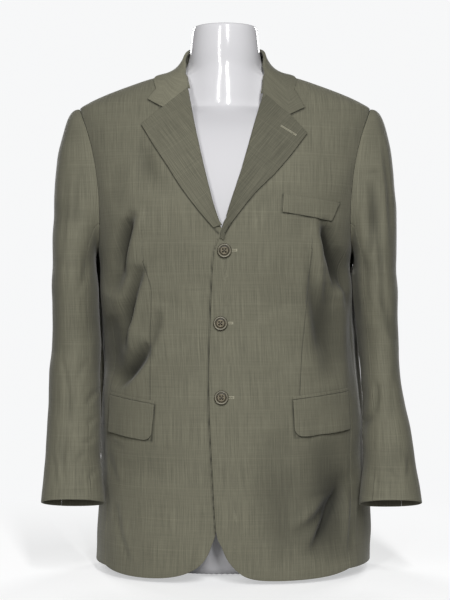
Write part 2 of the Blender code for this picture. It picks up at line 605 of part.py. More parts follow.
def collar_side(side, notch, roll):
    """Half of the collar, as grids from the front end to the back: its leaf, and its stand's foot."""
    neckline = collar_line(side, between(roll, notch["gorge"][1], NECKLINE_FRONT_Z), NECKLINE)
    edge = collar_line(side, [notch["collar_tip"], LEAF_CORNER], LEAF_EDGE)
    front_end = notched_end(side, notch, "collar_tip", COLLAR_ROWS)
    neckline[0], edge[0] = front_end[0], front_end[-1]
    back = np.linspace(neckline[-1], edge[-1], COLLAR_ROWS + 1)
    grid = evened(side, patch(front_end, back, neckline, edge))
    fall = np.linspace(0, 1, COLLAR_ROWS + 1)[None, :, None]
    foot = cloth_points(side, neckline[:, 0], neckline[:, 1], LYING)
    share = np.linspace(0, 1, len(foot))
    offset = fold_offset(foot, share)
    lift = CLOTH + smooth(STAND, "lift", share)[:, None]
    lying = cloth_points(side, grid[..., 0], grid[..., 1], lift)
    decay = np.concatenate([1 - fall ** 2, 1 - fall ** 2, (1 - fall) ** LEAF_FALL], -1)
    return lying + offset[:, None] * decay, foot


def build_collar(cloth):
    """The leaf lies on the body from notch to notch, and the stand holds it up round the neck."""
    leaf_left, foot_left = collar_side(1, LEFT_NOTCH, LEFT_ROLL)
    leaf_right, foot_right = collar_side(-1, RIGHT_NOTCH, RIGHT_ROLL)
    leaf = np.concatenate([leaf_left, leaf_right[-2::-1]])
    normal = grid_normals(leaf)
    normal *= np.sign(normal[COLLAR_STEPS, COLLAR_ROWS, 1])
    cloth_wall("collar", drawn_in(leaf, SEAM / 2), drawn_in(leaf - CLOTH * normal, SEAM / 2), cloth)

    foot = np.concatenate([foot_left, foot_right[-2::-1]])
    inwards = towards_neck(foot)
    top = leaf[:, 0] - (CLOTH + SEAM) * normal[:, 0] + STAND_TOP_INSET * inwards
    foot += STAND_INSET * inwards
    rise = np.linspace(0, 1, STAND_ROWS + 1)[None, :, None]
    stand = (foot[:, None] * (1 - rise) + top[:, None] * rise)[STAND_FIRST:-STAND_FIRST]
    thickness = grid_normals(stand)
    thickness *= -np.sign(thickness[len(thickness) // 2, 0, 1])
    cloth_wall("collar_stand", stand + CLOTH * thickness, stand, cloth)


# ---- pockets -------------------------------------------------------------------------------------
def rounded_corner(corner, along, up, radius):
    """Half of the arc that rounds a corner, from its middle to where it meets the edge `along`."""
    centre = corner + radius * (along + up)
    turn = np.radians((45, 67.5, 90))[:, None]
    return centre - radius * (along * np.cos(turn) + up * np.sin(turn))


def corner_points(corners):
    return np.stack([corners["x"], corners["z"]], -1).astype(float)


def build_flap(name, side, corners, cloth):
    """A pocket flap with a rounded lower front corner, and the jet it hangs from."""
    top_front, top_side, bottom_side, bottom_front = corner_points(corners)
    along = (bottom_side - bottom_front) / np.linalg.norm(bottom_side - bottom_front)
    up = (top_front - bottom_front) / np.linalg.norm(top_front - bottom_front)
    arc_along = rounded_corner(bottom_front, along, up, FLAP_CORNER)
    arc_up = rounded_corner(bottom_front, up, along, FLAP_CORNER)
    bottom = even_line(side, front_line(side, [*arc_along, bottom_side]), FLAP_COLUMNS)
    inner = even_line(side, front_line(side, [*arc_up, top_front]), FLAP_ROWS)
    outer = even_line(side, front_line(side, [bottom_side, top_side]), FLAP_ROWS)
    top = even_line(side, front_line(side, [top_front, top_side]), FLAP_COLUMNS)
    panel("flap_" + name, side, patch(bottom, top, inner, outer), cloth, lift=LYING + CLOTH)
    jet_top = top + [0, JET_HEIGHT]
    jet = np.stack([top, jet_top])
    panel("jet_" + name, side, jet, cloth, lift=LYING + JET_WALL, wall=JET_WALL)


def build_pockets(cloth):
    build_flap("left", 1, LEFT_FLAP, cloth)
    build_flap("right", -1, RIGHT_FLAP, cloth)
    top_front, top_side, bottom_side, bottom_front = corner_points(WELT)
    bottom, top = (even_line(1, front_line(1, ends), FLAP_COLUMNS) for ends in
                   ([bottom_front, bottom_side], [top_front, top_side]))
    inner, outer = (np.linspace(bottom[i], top[i], 3) for i in (0, -1))
    panel("breast_welt", 1, patch(bottom, top, inner, outer), cloth, lift=LYING + CLOTH)


# ---- buttons -------------------------------------------------------------------------------------
def modified(obj):
    """The object's mesh as its modifiers leave it."""
    mesh = bpy.data.meshes.new_from_object(obj.evaluated_get(bpy.context.evaluated_depsgraph_get()))
    mesh.name = obj.name
    return mesh


def turned_mesh(name, profile, steps, collection):
    """A closed solid turned round Z from a profile that runs down its outer side."""
    mesh = bpy.data.meshes.new(name)
    mesh.from_pydata([(r * MM, 0, z * MM) for r, z in profile],
                     [(i, i + 1) for i in range(len(profile) - 1)], [])
    obj = bpy.data.objects.new(name, mesh)
    collection.objects.link(obj)
    screw = obj.modifiers.new("turn", "SCREW")
    screw.steps = steps
    screw.render_steps = steps
    screw.use_merge_vertices = True
    screw.merge_threshold = 0.00001
    return obj


def button_mesh(collection):
    """A round button with a rim, a dished middle and four holes for the thread."""
    dish, top, rim = BUTTON_HEIGHT - BUTTON_DISH, BUTTON_HEIGHT, BUTTON_RADIUS - BUTTON_RIM
    profile = [(0, dish), (rim - BUTTON_SLOPE, dish), (rim, top - 0.2), (BUTTON_RADIUS - BUTTON_BEVEL, top),
               (BUTTON_RADIUS, top - BUTTON_BEVEL), (BUTTON_RADIUS - BUTTON_TAPER, 0), (0, 0)]
    blank = turned_mesh("button_blank", profile, BUTTON_STEPS, collection)
    drill = bmesh.new()
    for x, y in ((1, 1), (1, -1), (-1, 1), (-1, -1)):
        hole = bmesh.ops.create_cone(drill, cap_ends=True, segments=8, radius1=HOLE_RADIUS * MM,
                                     radius2=HOLE_RADIUS * MM, depth=3 * BUTTON_HEIGHT * MM)
        bmesh.ops.translate(drill, verts=hole["verts"], vec=Vector((x, y, 0)) * HOLE_OFFSET * MM)
    drills = bpy.data.objects.new("drills", mesh_from("drills", drill))
    collection.objects.link(drills)
    cut = blank.modifiers.new("holes", "BOOLEAN")
    cut.object = drills
    mesh = modified(blank)
    for obj in (blank, drills):
        bpy.data.objects.remove(obj)
    return mesh


def build_buttons(material, collection):
    mesh = button_mesh(collection)
    for number, (x, z) in enumerate(zip(BUTTONS["x"], BUTTONS["z"]), start=1):
        angle, height = np.array(float(angle_at(1, x, z))), np.array(float(z))
        button = add_object(f"button_{number}", mesh, material)
        button.location = metres(cloth_points(1, angle, height, BUTTON_SHANK))
        outward = Vector(normal_of(folded_surface, 1, angle, height))
        button.rotation_euler = outward.to_track_quat("Z", "Y").to_euler()


# ---- the torso form ------------------------------------------------------------------------------
def form_rings():
    """The form's sections, from its flat foot to the flat top of its neck."""
    angle = np.arange(FORM_SEGMENTS) * 360 / FORM_SEGMENTS
    rings = []
    eased = (("width", "side"), ("front", "front"), ("back", "back"))
    for z in FORM_LEVELS:
        half_width, front, back = (smooth(GARMENT, whole, z) - smooth(FORM_EASE, ease, z)
                                   for whole, ease in eased)
        chest = oval(angle, half_width, front, back, smooth(FORM_EASE, "front_square", z))
        shoulders = oval(angle, half_width, front, back, smooth(GARMENT, "square", z))
        x, y = (np.where(angle < 180, *pair) for pair in zip(chest, shoulders))
        x, y = x + FORM_LEAN * smooth(GARMENT, "lean", z), y + smooth(GARMENT, "side_y", z)
        rings.append(np.stack([x, y, np.full(FORM_SEGMENTS, float(z))], -1))
    for z in NECK["z"]:
        x, y = oval(angle, smooth(NECK, "width", z), smooth(NECK, "depth", z), smooth(NECK, "depth", z), 2)
        rings.append(np.stack([x, y + smooth(NECK, "side_y", z), np.full(FORM_SEGMENTS, float(z))], -1))
    return rings


def build_form(material):
    loft = bmesh.new()
    rings = [[loft.verts.new(point) for point in metres(ring)] for ring in form_rings()]
    for lower, upper in zip(rings, rings[1:]):
        for i in range(FORM_SEGMENTS):
            j = (i + 1) % FORM_SEGMENTS
            loft.faces.new((lower[i], lower[j], upper[j], upper[i]))
    loft.faces.new(rings[0])
    loft.faces.new(rings[-1])
    bmesh.ops.triangulate(loft, faces=loft.faces)
    add_object("torso_form", mesh_from("torso_form", loft), material)


# ---- the whole part --------------------------------------------------------------------------------
def material(name, colour, roughness):
    made = bpy.data.materials.new(name)
    made.use_nodes = True
    shader = made.node_tree.nodes["Principled BSDF"]
    shader.inputs["Base Color"].default_value = (*colour, 1)
    shader.inputs["Roughness"].default_value = roughness
    shader.inputs["Metallic"].default_value = 0
    return made


def main():
    for obj in list(bpy.data.objects):
        bpy.data.objects.remove(obj)
    collection = bpy.data.collections.new("blazer_on_form")
    bpy.context.scene.collection.children.link(collection)
    cloth = material("wool", CLOTH_COLOUR, 0.85)
    build_body(cloth)
    build_sleeves(cloth)
    build_lapel("lapel_left", 1, LEFT_ROLL, LEFT_LAPEL, LEFT_NOTCH, LEFT_BREAK_Z, cloth)
    build_lapel("lapel_right", -1, RIGHT_ROLL, RIGHT_LAPEL, RIGHT_NOTCH, RIGHT_BREAK_Z, cloth)
    build_collar(cloth)
    build_pockets(cloth)
    build_buttons(material("horn", BUTTON_COLOUR, 0.35), collection)
    build_form(material("form", FORM_COLOUR, 0.25))


main()
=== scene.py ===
"""How the blazer and its torso form look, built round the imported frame.

Every piece of cloth lies on the same surface as its solid, worked out from the same sizes and
much finer, with the creases, rolled edges, seams and stitches that the solids leave out. On a
section of the body, an angle of 0 is the wearer's side, 90 the centre front and -90 the centre
back. The wearer's left is +X (side 1) and the front faces -Y. Lengths are millimetres, heights
are measured as in the plan, and metres() turns both into the frame's own.
"""

import math

import bmesh
import bpy
import numpy as np
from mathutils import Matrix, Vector


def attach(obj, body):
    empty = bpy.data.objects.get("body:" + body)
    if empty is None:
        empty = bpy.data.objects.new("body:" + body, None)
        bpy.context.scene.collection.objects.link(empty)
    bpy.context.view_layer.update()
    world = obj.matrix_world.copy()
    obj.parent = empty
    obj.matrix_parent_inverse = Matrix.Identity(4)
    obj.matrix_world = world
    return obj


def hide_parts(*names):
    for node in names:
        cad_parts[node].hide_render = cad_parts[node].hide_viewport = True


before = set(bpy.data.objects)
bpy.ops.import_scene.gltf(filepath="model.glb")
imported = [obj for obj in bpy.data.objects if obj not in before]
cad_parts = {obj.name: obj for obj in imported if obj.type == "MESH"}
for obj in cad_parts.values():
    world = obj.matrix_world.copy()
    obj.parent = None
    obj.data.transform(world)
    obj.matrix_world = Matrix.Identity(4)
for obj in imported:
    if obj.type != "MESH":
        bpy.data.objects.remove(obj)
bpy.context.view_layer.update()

MM = 0.001
CLOTH = 2.0  # wall of the cloth with its canvas and lining
SEAM = 0.4  # clear space between two pieces along a seam
LYING = 0.5  # clear space under a piece that lies on a panel
UNDERLAP = 2.8  # how far the right front sinks where it passes under the left one
UNDERLAP_START = (-62, 562)  # the place across the body and the height where it starts to sink
UNDERLAP_EASE = (34, 30)  # and over how much it does so, across and down
NAMES = {1: "left", -1: "right"}  # the wearer's sides

# ---- the garment's surface: a row of each list for every section, from hem to neck ----------
GARMENT = {
    "z":      (15, 110, 200, 290, 380, 450, 480, 505, 560, 610,
               650, 685, 704, 720, 728, 741, 758, 766, 773, 780, 790),
    "width":  (214, 212, 205, 199, 196, 195, 194, 196, 204, 212,
               218, 223, 225, 224, 213, 186, 141, 117, 89, 75, 63),
    "front":  (173, 177, 175, 173, 163, 158, 155, 151, 143, 132,
               119, 103, 91, 79, 73, 64, 53, 48, 44, 41, 39),
    "back":   (98, 97, 93, 82, 70, 76, 84, 92, 107, 115,
               116, 111, 104, 96, 90, 80, 69, 64, 59, 56, 53),
    "side_y": (46, 48, 46, 45, 40, 32, 26, 20, 12, 9,
               8, 8, 8, 9, 9, 9, 9, 9, 9, 9, 9),
    "lean":   (12, 15, 11, 9, 5, 2, 0, 0, 0, 0, 0, 0, 0, 0, 0, 0, 0, 0, 0, 0, 0),
    "square": (2.3, 2.3, 2.3, 2.3, 2.35, 2.4, 2.4, 2.4, 2.4, 2.35,
               2.3, 2.2, 2.1, 2.0, 2.0, 2.0, 2.0, 2.0, 2.0, 2.0, 2.0),
}

# ---- the torso form: how far it stays inside the garment's surface, then its own neck --------
FORM_EASE = {
    "z":     (0, 60, 200, 290, 380, 450, 505, 610, 685, 704, 716, 728, 741, 758, 766, 773, 780, 790),
    "side":  (66, 62, 57, 52, 50, 48, 36, 23, 15, 16, 22, 24, 18, 15, 15, 14, 13, 6),
    "front": (64, 47, 34, 30, 26, 18, 14, 9, 12, 22, 25, 19, 10, 0, -4, -8, -10, -12),
    "back":  (42, 34, 22, 16, 14, 12, 12, 8, 6.5, 6, 5.8, 5.6, 5.6, 5.8, 6, 6, 6, 6),
    "front_square": (2.2, 2.2, 2.2, 2.2, 2.2, 2.2, 2.2, 2.2, 2.1,
                     2.0, 1.95, 1.85, 1.7, 1.6, 1.55, 1.55, 1.6, 1.9),
}
FORM_LEAN = 0.3  # the form leans with the garment's hem only a little
FORM_ROUND = 112  # points round each of its sections
NECK_FOOT_Z = 717  # from here up the shell has a round neck, which stands in front of its shoulders
SHOULDER_FRONT = 0.8  # how far forward the shoulders beside it reach, as a share of the neck
SHOULDER_BLEND = 4  # how sharply neck and shoulders meet, as a power
FORM_LEVELS = (10, 22, 60, 120, 200, 290, 340, 380, 420, 450, 480, 505, 530, 560, 610, 640, 665, 685,
               700, 709, 717, 724, 732, 741, 750, 758, 766, 773, 781, 790)
NECK = {
    "z":      (803, 818, 834, 841, 845, 846),
    "width":  (54, 53, 51, 50, 48.5, 46.5),
    "depth":  (50, 49, 48, 47.5, 46, 44),
    "side_y": (6, 4, 2.5, 2, 2, 2),
}

# ---- seams on the surface ---------------------------------------------------------------------
GROUND_Z = 10  # the surface that the form stands on
FRONT_HEM_Z = 15.5
SIDE_HEM_Z = 25
SHOULDER_TIP_Z = 720
SHOULDER_DIP = 1.15  # above 1, the shoulder seam drops faster towards the tip
NECK_POINT_Z = 784
NAPE_Z = 789
ARMHOLE = {"middle": 609.5, "half_height": 110.5, "front_reach": 27, "back_reach": 31}
ARMHOLE_SQUARENESS = 0.85
ARMHOLE_CALM = 0.22  # how far off the seam the folds reach their height, as a share of the armhole
ARMHOLE_LOOP = 28  # segments round the armhole, from the shoulder tip round by the front
FRONT_SEAM_TURN = 10  # where the front meets the side panel, in segments of the loop
BACK_SEAM_TURN = 18
SEAM_ROWS = 15
EVENING_STEPS = 60
EVENING_PACE = 0.8  # how much of the way to its place a point goes at each step
EVENING_REACH = 0.5  # where a slope is read beside its point, in degrees and up
LINE_FINE = 4  # points of a line for each of those that it goes through
FRONT_COLUMNS = 15
ROLL_SETBACK = 3.2  # how far a front stops short of its roll line
BACK_COLUMNS = 12
BACK_NECK_COLUMNS = 5
# The seams in front of and behind the side panels, as angles. The wearer's right one hangs
# further round.
SIDE_SEAM = {
    "z":           (15, 200, 380, 500),
    "front_left":  (39, 30, 22, 18),
    "front_right": (27, 25, 20, 18),
    "back":        (-34, -30, -27, -22),
}

FRONT_SEAM = {1: "front_left", -1: "front_right"}
HEM_CORNER = {1: 14, -1: 6}  # how quickly each front's rounded corner runs out into its hem
HEM_RISE = 4  # how late each hem rises to its side seam, as a power

# Front edges from the hem corner up to the lapel's break, as heights and places across the body. x runs
# across the body for these, and out from the middle for all that follow.
EDGE = {
    1: {"z": (25, 34, 48, 66, 88, 170, 250, 309, 426, 484, 500, 515),
        "x": (25, 14, 3, -5, -13, -18, -22, -23.5, -20, -17, -14, -8)},
    -1: {"z": (31, 39, 52, 68, 88, 150, 220, 284, 400, 484, 500, 515),
         "x": (-47, -36, -26, -19.5, -13, 1, 9, 13, 14, 13, 10, 4)},
}
# Roll lines from the break up to the neck, and lapel edges up to the tip.
ROLL = {
    1: {"z": (515, 531, 548, 573, 610, 652, 691, 733, 768),
        "x": (-8, -4.6, 1.2, 9.2, 21.4, 33.6, 44.4, 56, 61)},
    -1: {"z": (515, 536, 544, 568, 605, 651, 692, 733, 768),
         "x": (-4, 4.6, 9.3, 17, 26.2, 37, 45.6, 53, 60)},
}
LAPEL = {
    1: {"z": (512, 529, 556, 583, 612, 642, 672), "x": (-2, 3, 23, 45, 74, 99, 121)},
    -1: {"z": (523, 531, 558, 590, 622, 656, 686), "x": (10, 17, 40, 64, 84, 106, 124)},
}
NOTCH = {
    1: {"gorge": (56.5, 736), "notch": (96, 701), "tip": (121, 672), "collar_tip": (119, 713)},
    -1: {"gorge": (54.8, 745), "notch": (93, 713), "tip": (124, 686), "collar_tip": (116, 727)},
}
BREAK_Z = {1: 517, -1: 535}
# The waist darts, as the line that each sewn seam follows on its front.
DART = {
    1: {"z": (498, 464, 417, 350, 286), "x": (128, 124.6, 120.2, 113.5, 109.5)},
    -1: {"z": (482, 435, 370, 330, 276), "x": (121, 108.5, 110.5, 110.5, 110.5)},
}

# ---- folds and creases, as soft troughs (negative depth) and ridges ----------------------------
# Side 1 is the wearer's left, and face 1 the front. Each runs from (x0, z0) to (x1, z1), bowed by
# the bend, and a ridge stands beside a trough by that share of its depth:
# (side, face): [(x0, z0, x1, z1, bend, width, depth, ridge), ...]
FOLDS = {
    (1, 1): [
        (150, 532, 180, 440, 0, 15, -12, 0), (130, 528, 164, 430, 0, 14, 5, 0),
        (142, 470, 146, 350, 0, 20, -6, 0), (186, 170, 132, 50, 0, 16, -8, 0),
        (198, 440, 198, 280, 0, 11, -6, 0),
    ],
    (1, -1): [
        (206, 494, 206, 190, 0, 18, 12, 0), (140, 560, 164, 430, 0, 22, -8, 0),
        (90, 330, 150, 300, 0, 24, 4, 0),
    ],
    (-1, 1): [
        (140, 540, 168, 436, 0, 14, -11, 0), (122, 556, 150, 424, 0, 14, 6, 0),
        (128, 474, 150, 388, 0, 15, -8, 0), (112, 352, 164, 300, 0, 16, -8, 0),
        (176, 400, 172, 312, 0, 15, -8, 0),
    ],
    (-1, -1): [
        (196, 500, 196, 180, 0, 18, 13, 0), (140, 550, 160, 440, 0, 20, -7, 0),
        (80, 350, 145, 310, 0, 22, 4, 0), (194, 512, 194, 430, 0, 12, 5, 0),
    ],
}
BODY_CREASES = {
    (1, 1): [
        (25, 530, 82, 584, 4, 10, -1.6, 0.3), (128, 486, 150, 352, -5, 9, -3.2, 0.5),
        (143, 548, 176, 440, 3, 9, -13.0, 0.2), (157, 456, 159, 296, 0, 22, -10.0, 0.0),
        (150, 230, 172, 30, 0, 34, -12.5, 0.0), (146, 508, 166, 410, -3, 7, -5.5, 0.6),
        (174, 506, 190, 410, 2, 6, -7.0, 0.3), (124, 466, 133, 446, 0, 4, -1.2, 0.4),
        (30, 392, 118, 428, 6, 9, -1.1, 0.4), (34, 384, 108, 360, -5, 8, -0.9, 0.4),
        (42, 300, 96, 330, 4, 8, -0.9, 0.3), (182, 144, 100, 80, 5, 8, -5.0, 0.5),
        (112, 141, 184, 149, -5, 3.4, -1.3, 0.3), (184, 150, 128, 54, 3, 6, -5.0, 0.6),
        (70, 120, 88, 40, 6, 10, -1.1, 0.3), (112, 216, 150, 232, 2, 4, -0.8, 0.3),
        (196, 150, 192, 44, 2, 5, -3.6, 0.7), (206, 156, 206, 52, -2, 4, -1.8, 0.7),
        (110, 690, 160, 600, 8, 16, -1.0, 0.2), (70, 240, 96, 30, 0, 36, -7.0, 0.0),
    ],
    (1, -1): [
        (190, 528, 190, 458, 0, 11, 10.6, 0.0), (194, 524, 194, 484, 0, 8, 23.0, 0.0),
        (128, 556, 150, 452, 6, 9, -2.4, 0.6), (108, 470, 156, 420, 6, 8, -1.8, 0.5),
        (70, 440, 130, 400, -6, 10, -1.4, 0.4), (60, 400, 140, 372, -5, 9, -1.2, 0.4),
        (40, 660, 120, 640, 10, 14, -0.9, 0.3), (90, 300, 110, 60, 8, 16, -1.8, 0.5),
        (150, 280, 156, 60, -6, 12, -1.6, 0.5),
    ],
    (-1, 1): [
        (160, 420, 166, 290, 0, 22, -5.0, 0.0), (118, 656, 108, 596, 5, 13, -3.6, 0.3),
        (146, 690, 70, 566, 9, 22, -2.6, 0.3), (150, 640, 160, 560, 5, 11, -1.5, 0.3),
        (132, 558, 163, 470, 5, 9, -11.0, 0.6), (121, 480, 159, 350, 6, 8, -10.5, 0.6),
        (96, 412, 121, 346, -3, 8, -5.5, 0.4), (113, 364, 170, 295, -4, 9, -10.0, 0.6),
        (36, 396, 112, 430, 6, 9, -1.0, 0.4), (40, 380, 100, 350, -4, 8, -0.9, 0.4),
        (164, 128, 140, 32, 5, 5, -1.8, 0.6), (172, 213, 150, 205, 1, 4, -1.4, 0.5),
        (176, 196, 160, 150, 2, 5, -1.2, 0.5), (96, 110, 80, 36, -5, 10, -1.0, 0.3),
        (120, 210, 96, 160, 5, 9, -0.8, 0.3),
    ],
    (-1, -1): [
        (190, 530, 190, 460, 0, 11, 10.8, 0.0), (194, 524, 194, 484, 0, 8, 23.0, 0.0),
        (186, 226, 186, 168, 0, 14, 3.2, 0.0), (184, 360, 184, 256, 0, 12, 5.0, 0.0),
        (126, 560, 148, 446, 7, 9, -2.2, 0.6), (104, 482, 158, 436, 7, 9, -2.0, 0.5),
        (66, 452, 126, 404, -5, 9, -1.3, 0.4), (50, 420, 120, 360, -6, 9, -1.2, 0.4),
        (50, 646, 126, 664, -9, 14, -0.9, 0.3), (70, 330, 96, 60, 8, 15, -1.7, 0.5),
        (140, 300, 150, 60, -7, 13, -1.8, 0.5),
    ],
}
SLEEVE_CREASES = {
    (1, 1): [
        (206, 613, 238, 619, 2, 4, -1.4, 0.5), (219, 612, 215, 490, 5, 9, -4.6, 0.4),
        (240, 664, 250, 500, 3, 5, -2.2, 0.6), (230, 540, 242, 400, -3, 5, -2.4, 0.6),
        (196, 494, 206, 384, -3, 4, -2.0, 0.7), (206, 500, 214, 420, 2, 4, -1.4, 0.7),
        (224, 472, 254, 380, -5, 6, -2.4, 0.5), (228, 404, 262, 352, 4, 7, -1.6, 0.5),
        (226, 306, 222, 254, 3, 4.5, -2.6, 0.7), (222, 256, 204, 220, -3, 5, -2.4, 0.6),
        (258, 330, 248, 240, -4, 7, -1.4, 0.5), (272, 196, 268, 166, 2, 4, -1.6, 0.6),
        (214, 170, 228, 150, 2, 4, -1.0, 0.5), (240, 180, 262, 162, -2, 4, -0.9, 0.4),
    ],
    (1, -1): [
        (216, 560, 244, 500, 5, 8, -2.0, 0.5), (210, 420, 252, 380, 5, 7, -2.6, 0.6),
        (212, 380, 256, 356, -4, 6, -2.2, 0.6), (216, 330, 250, 318, 3, 6, -1.6, 0.5),
        (230, 280, 236, 170, 5, 6, -1.6, 0.5),
    ],
    (-1, 1): [
        (214, 640, 226, 520, 4, 7, -1.6, 0.4), (240, 620, 246, 470, -3, 5, -1.0, 0.6),
        (206, 500, 222, 430, -3, 5, -1.6, 0.6), (246, 344, 230, 236, -5, 4, -1.8, 0.7),
        (230, 238, 238, 158, 4, 4.5, -1.6, 0.6), (188, 292, 208, 268, 3, 4, -2.2, 0.7),
        (190, 252, 206, 238, 2, 4, -1.8, 0.7), (192, 226, 214, 216, -3, 4, -1.6, 0.7),
        (204, 204, 220, 188, 2, 4, -1.4, 0.6), (190, 176, 202, 158, 2, 4, -1.8, 0.7),
        (206, 340, 220, 300, 3, 5, -1.2, 0.5), (256, 200, 250, 150, -2, 4, -1.2, 0.6),
    ],
    (-1, -1): [
        (212, 570, 246, 516, 6, 8, -2.0, 0.5), (206, 430, 250, 392, 5, 7, -2.4, 0.6),
        (208, 388, 254, 360, -5, 6, -2.2, 0.6), (214, 326, 246, 310, 4, 6, -1.6, 0.5),
        (226, 270, 222, 176, -5, 6, -1.6, 0.5),
    ],
}
# How they fade: the power and reach towards both ends, and how soon past the body's side.
FOLD_FADING = (3, 1.3, 6)
CREASE_FADING = (2.5, 1, 5)
RIDGE_PLACE = 1.7  # of a ridge beside its trough, in the trough's widths
# Slow swells of the whole cloth: their lengths, how far their crests lean, phases and heights.
SWELLS = {
    "length": (148, 97, 71, 53, 38),
    "lean":   (68, 102, 81, 118, 64),
    "phase":  (0.4, 2.1, 4.0, 1.2, 5.1),
    "height": (0.55, 0.4, 0.28, 0.17, 0.1),
}
SWELL_DEPTH = 0.7  # how far a place's depth shifts the swells, beside its place across
CALM_OVERLAP = (22, 26)  # the fronts lie smooth over each other as far out as this, easing over that
CALM_SHOULDER_Z = (660, 44)  # and on the shoulders from this height up
CALM_BACK_SEAM = 7  # and by the back seam, in degrees
FOLD_SHADE_DEPTH = 20  # how deep in a fold the cloth lies where its painted shade is fullest, in millimetres
NORMAL_REACH = (0.4, 0.8)  # where a normal is read beside its point, in degrees and up

# ---- sleeves: oval sections down the arm, with x out from the middle ---------------------------
BOTH_SLEEVES = {"y": (2, 3, 0, -9, -22, -38, -55, -70),
                "depth": (74, 70, 64, 60, 55, 50, 46, 43)}
SLEEVE = {
    1: {**BOTH_SLEEVES,
        "z": (466, 420, 350, 310, 265, 215, 165, 122),
        "x": (229.5, 232, 236, 238.5, 242, 245.5, 247.5, 247),
        "width": (34, 32.5, 30.5, 29.5, 31.5, 37, 41.5, 46.5)},
    -1: {**BOTH_SLEEVES,
         "z": (466, 420, 350, 310, 265, 215, 165, 123),
         "x": (231, 230, 228.5, 230, 229.5, 229, 228, 227),
         "width": (33.5, 35, 37.5, 38, 39.5, 41, 43.5, 47)},
}
SLEEVE_SQUARE = 2.2
CUFF_SLOPE = 0.25  # how much lower the cuff hangs towards the back
SLEEVE_FRONT_TURN = 10
SLEEVE_BACK_TURN = 20
CAP_ROWS = 7
ARM_ROWS = 12
BACK_SEAM_DRIFT = 3.0  # how far the elbow seam wanders outwards by the cuff, in loop segments
DRIFT_START = 0.6  # where it leaves its line, as a row of the sleeve from 0 at the seam to 2 at the cuff
# How far out of the armhole the cap leans as it leaves the seam, by degrees round it.
CAP_LEAN = {"at": (0, 90, 180, 270, 360), "degrees": (84, 46, 88, 46, 84)}
CAP_FULLNESS = 0.52  # of the curve from the seam to the arm
CAP_SEWN = 0.25  # the share of the cap, from its seam down, over which its creases start
TURN_STEP = 0.05  # how far apart a sleeve's directions are read, in loop segments and in rows
ROW_STEP = 0.01
SLEEVE_DOWN = 6
SLEEVE_ACROSS = 6
SLEEVE_FOLD_SHADE = 2.5  # a sleeve's creases are shallower, so their depth counts this many times over for as dark a painted shade
CUFF_TURN = 34  # how much of a cuff's inner side is the turned-up cloth
ARM_HALF = (36, 62)  # an arm's section, half across and half deep, that the threads run round
GRAIN_TURNS = 360

# ---- lapels and collar ------------------------------------------------------------------------
LAPEL_ROWS = 14
LAPEL_COLUMNS = 6
LAPEL_SPRING = 2.0  # how far the lapel stands off the front along its roll
BREAK_DROP = 4  # how far below the foot of its roll a lapel's edge starts
NOTCH_SHARE = 0.66  # the gorge's part of the lapel's top, the rest being the notch's lower side
COLLAR_STEPS = 17  # from a notch to the centre back
COLLAR_ROWS = 6
STAND_INSET = 0.7  # how far the stand's foot stands inside the neckline
STAND_TOP_INSET = 1.2
NECK_AXIS_Y = 4
# The neckline and the leaf's edge run on from the front to the centre back as (angle, z), and
# the fold stands in from the neckline and over it by the share of the way to the centre back.
NECKLINE_FRONT_Z = 764
NECKLINE = ((34.0, 777.0), (0.0, 784.0), (-45.0, 788.0), (-90.0, 789.0))
LEAF_CORNER = (104, 744)
LEAF_EDGE = ((34.0, 762.0), (0.0, 773.0), (-45.0, 772.0), (-90.0, 770.0))
# The leaf lies the lift clear of the body.
STAND = {
    "at":   (0, 0.2, 0.31, 0.45, 0.7, 1),
    "in":   (0, 0.5, 6, 10.5, 6, 2.5),
    "up":   (0.6, 3, 12, 22, 30, 31),
    "lift": (0.5, 0.6, 1.1, 1.6, 2.4, 2.4),
}
LEAF_FALL = 1.8  # how soon the leaf falls from its fold on to the body
ROLL_RADIUS = 3.2  # of the lapel's rolled edge
ROLL_STEPS = 7
ROLL_TAPER = (0.55, 6)  # how full the roll is at the break and the gorge; 1 and more is full
ROLL_ROOM = 0.8  # of the columns beside it that a roll's radius may take
ROLL_COLUMNS = 8  # of the lapel, that move up beside the roll
SOFT_ROLL = 2.2  # how much more a lapel stands off its front by the break
SOFT_ROLL_SHAPE = (0.7, 0.6)  # how blunt that swell is, and how much lower at its upper end
LAPEL_DOWN = 8
LAPEL_ACROSS = 6
COLLAR_DOWN = 5
COLLAR_ACROSS = 3
COLLAR_WALL = 1.6
COLLAR_FOLD = 4.0  # how far below its top the collar starts to fold over
FOLD_SHARE = 0.4  # but no more than this of the stand's height
FOLD_OVER = 0.6  # how far down the leaf the fold ends, as a share of where it started
FOLD_PULL = 2.2  # how full the fold is
FOLD_STEPS = 6
STAND_FINE = 8
COLLAR_MIDDLE = 40  # the collar's painted light and shade changes over this far on both sides of the back seam
COLLAR_PAINTED_SHADING = {1: -0.12, -1: 0.24}  # painted light and shade: the collar's half on the wearer's right is painted lighter and the left half darker, as the light falls on them
# painted shade: both lapels are painted darker, the wearer's left one most
LAPEL_PAINTED_SHADE = {1: -0.36, -1: -0.16}

# ---- pockets, stitches and buttons -------------------------------------------------------------
# Corners measured out from the middle and up: top front, top side, bottom side, bottom front.
FLAP = {
    1: {"x": (99, 184, 186, 102), "z": (280, 289, 232, 225)},
    -1: {"x": (103, 172, 174, 108), "z": (273, 283, 227, 218)},
}
WELT = {"x": (85, 170, 158, 83), "z": (581, 570, 543, 554)}
FLAP_COLUMNS = 12
FLAP_ROWS = 4
FLAP_CORNER = 14  # radius of its rounded corner
CORNER_TURNS = (45, 56, 67.5, 79, 90)  # degrees from the middle of that corner to its end
JET_HEIGHT = 5
JET_WALL = 1.2
FLAP_FINE = 4
FLAP_CURL = 1.1
CURL_LEAST = 0.35  # of the curl along a flap's edge, beside the wave in it
CURL_WAVE = 5.2
JET_ROWS = 4
WELT_ROWS = 2
PICK_ROW = 1  # the fine row and column of a flap that its pick stitches follow
PICK_COLUMN = 2
PICK_COUNT = 24
PICK_PITCH = 4  # a stitch takes one step in this many
PICK_LIFT = 0.35
PICK_RADIUS = 0.22
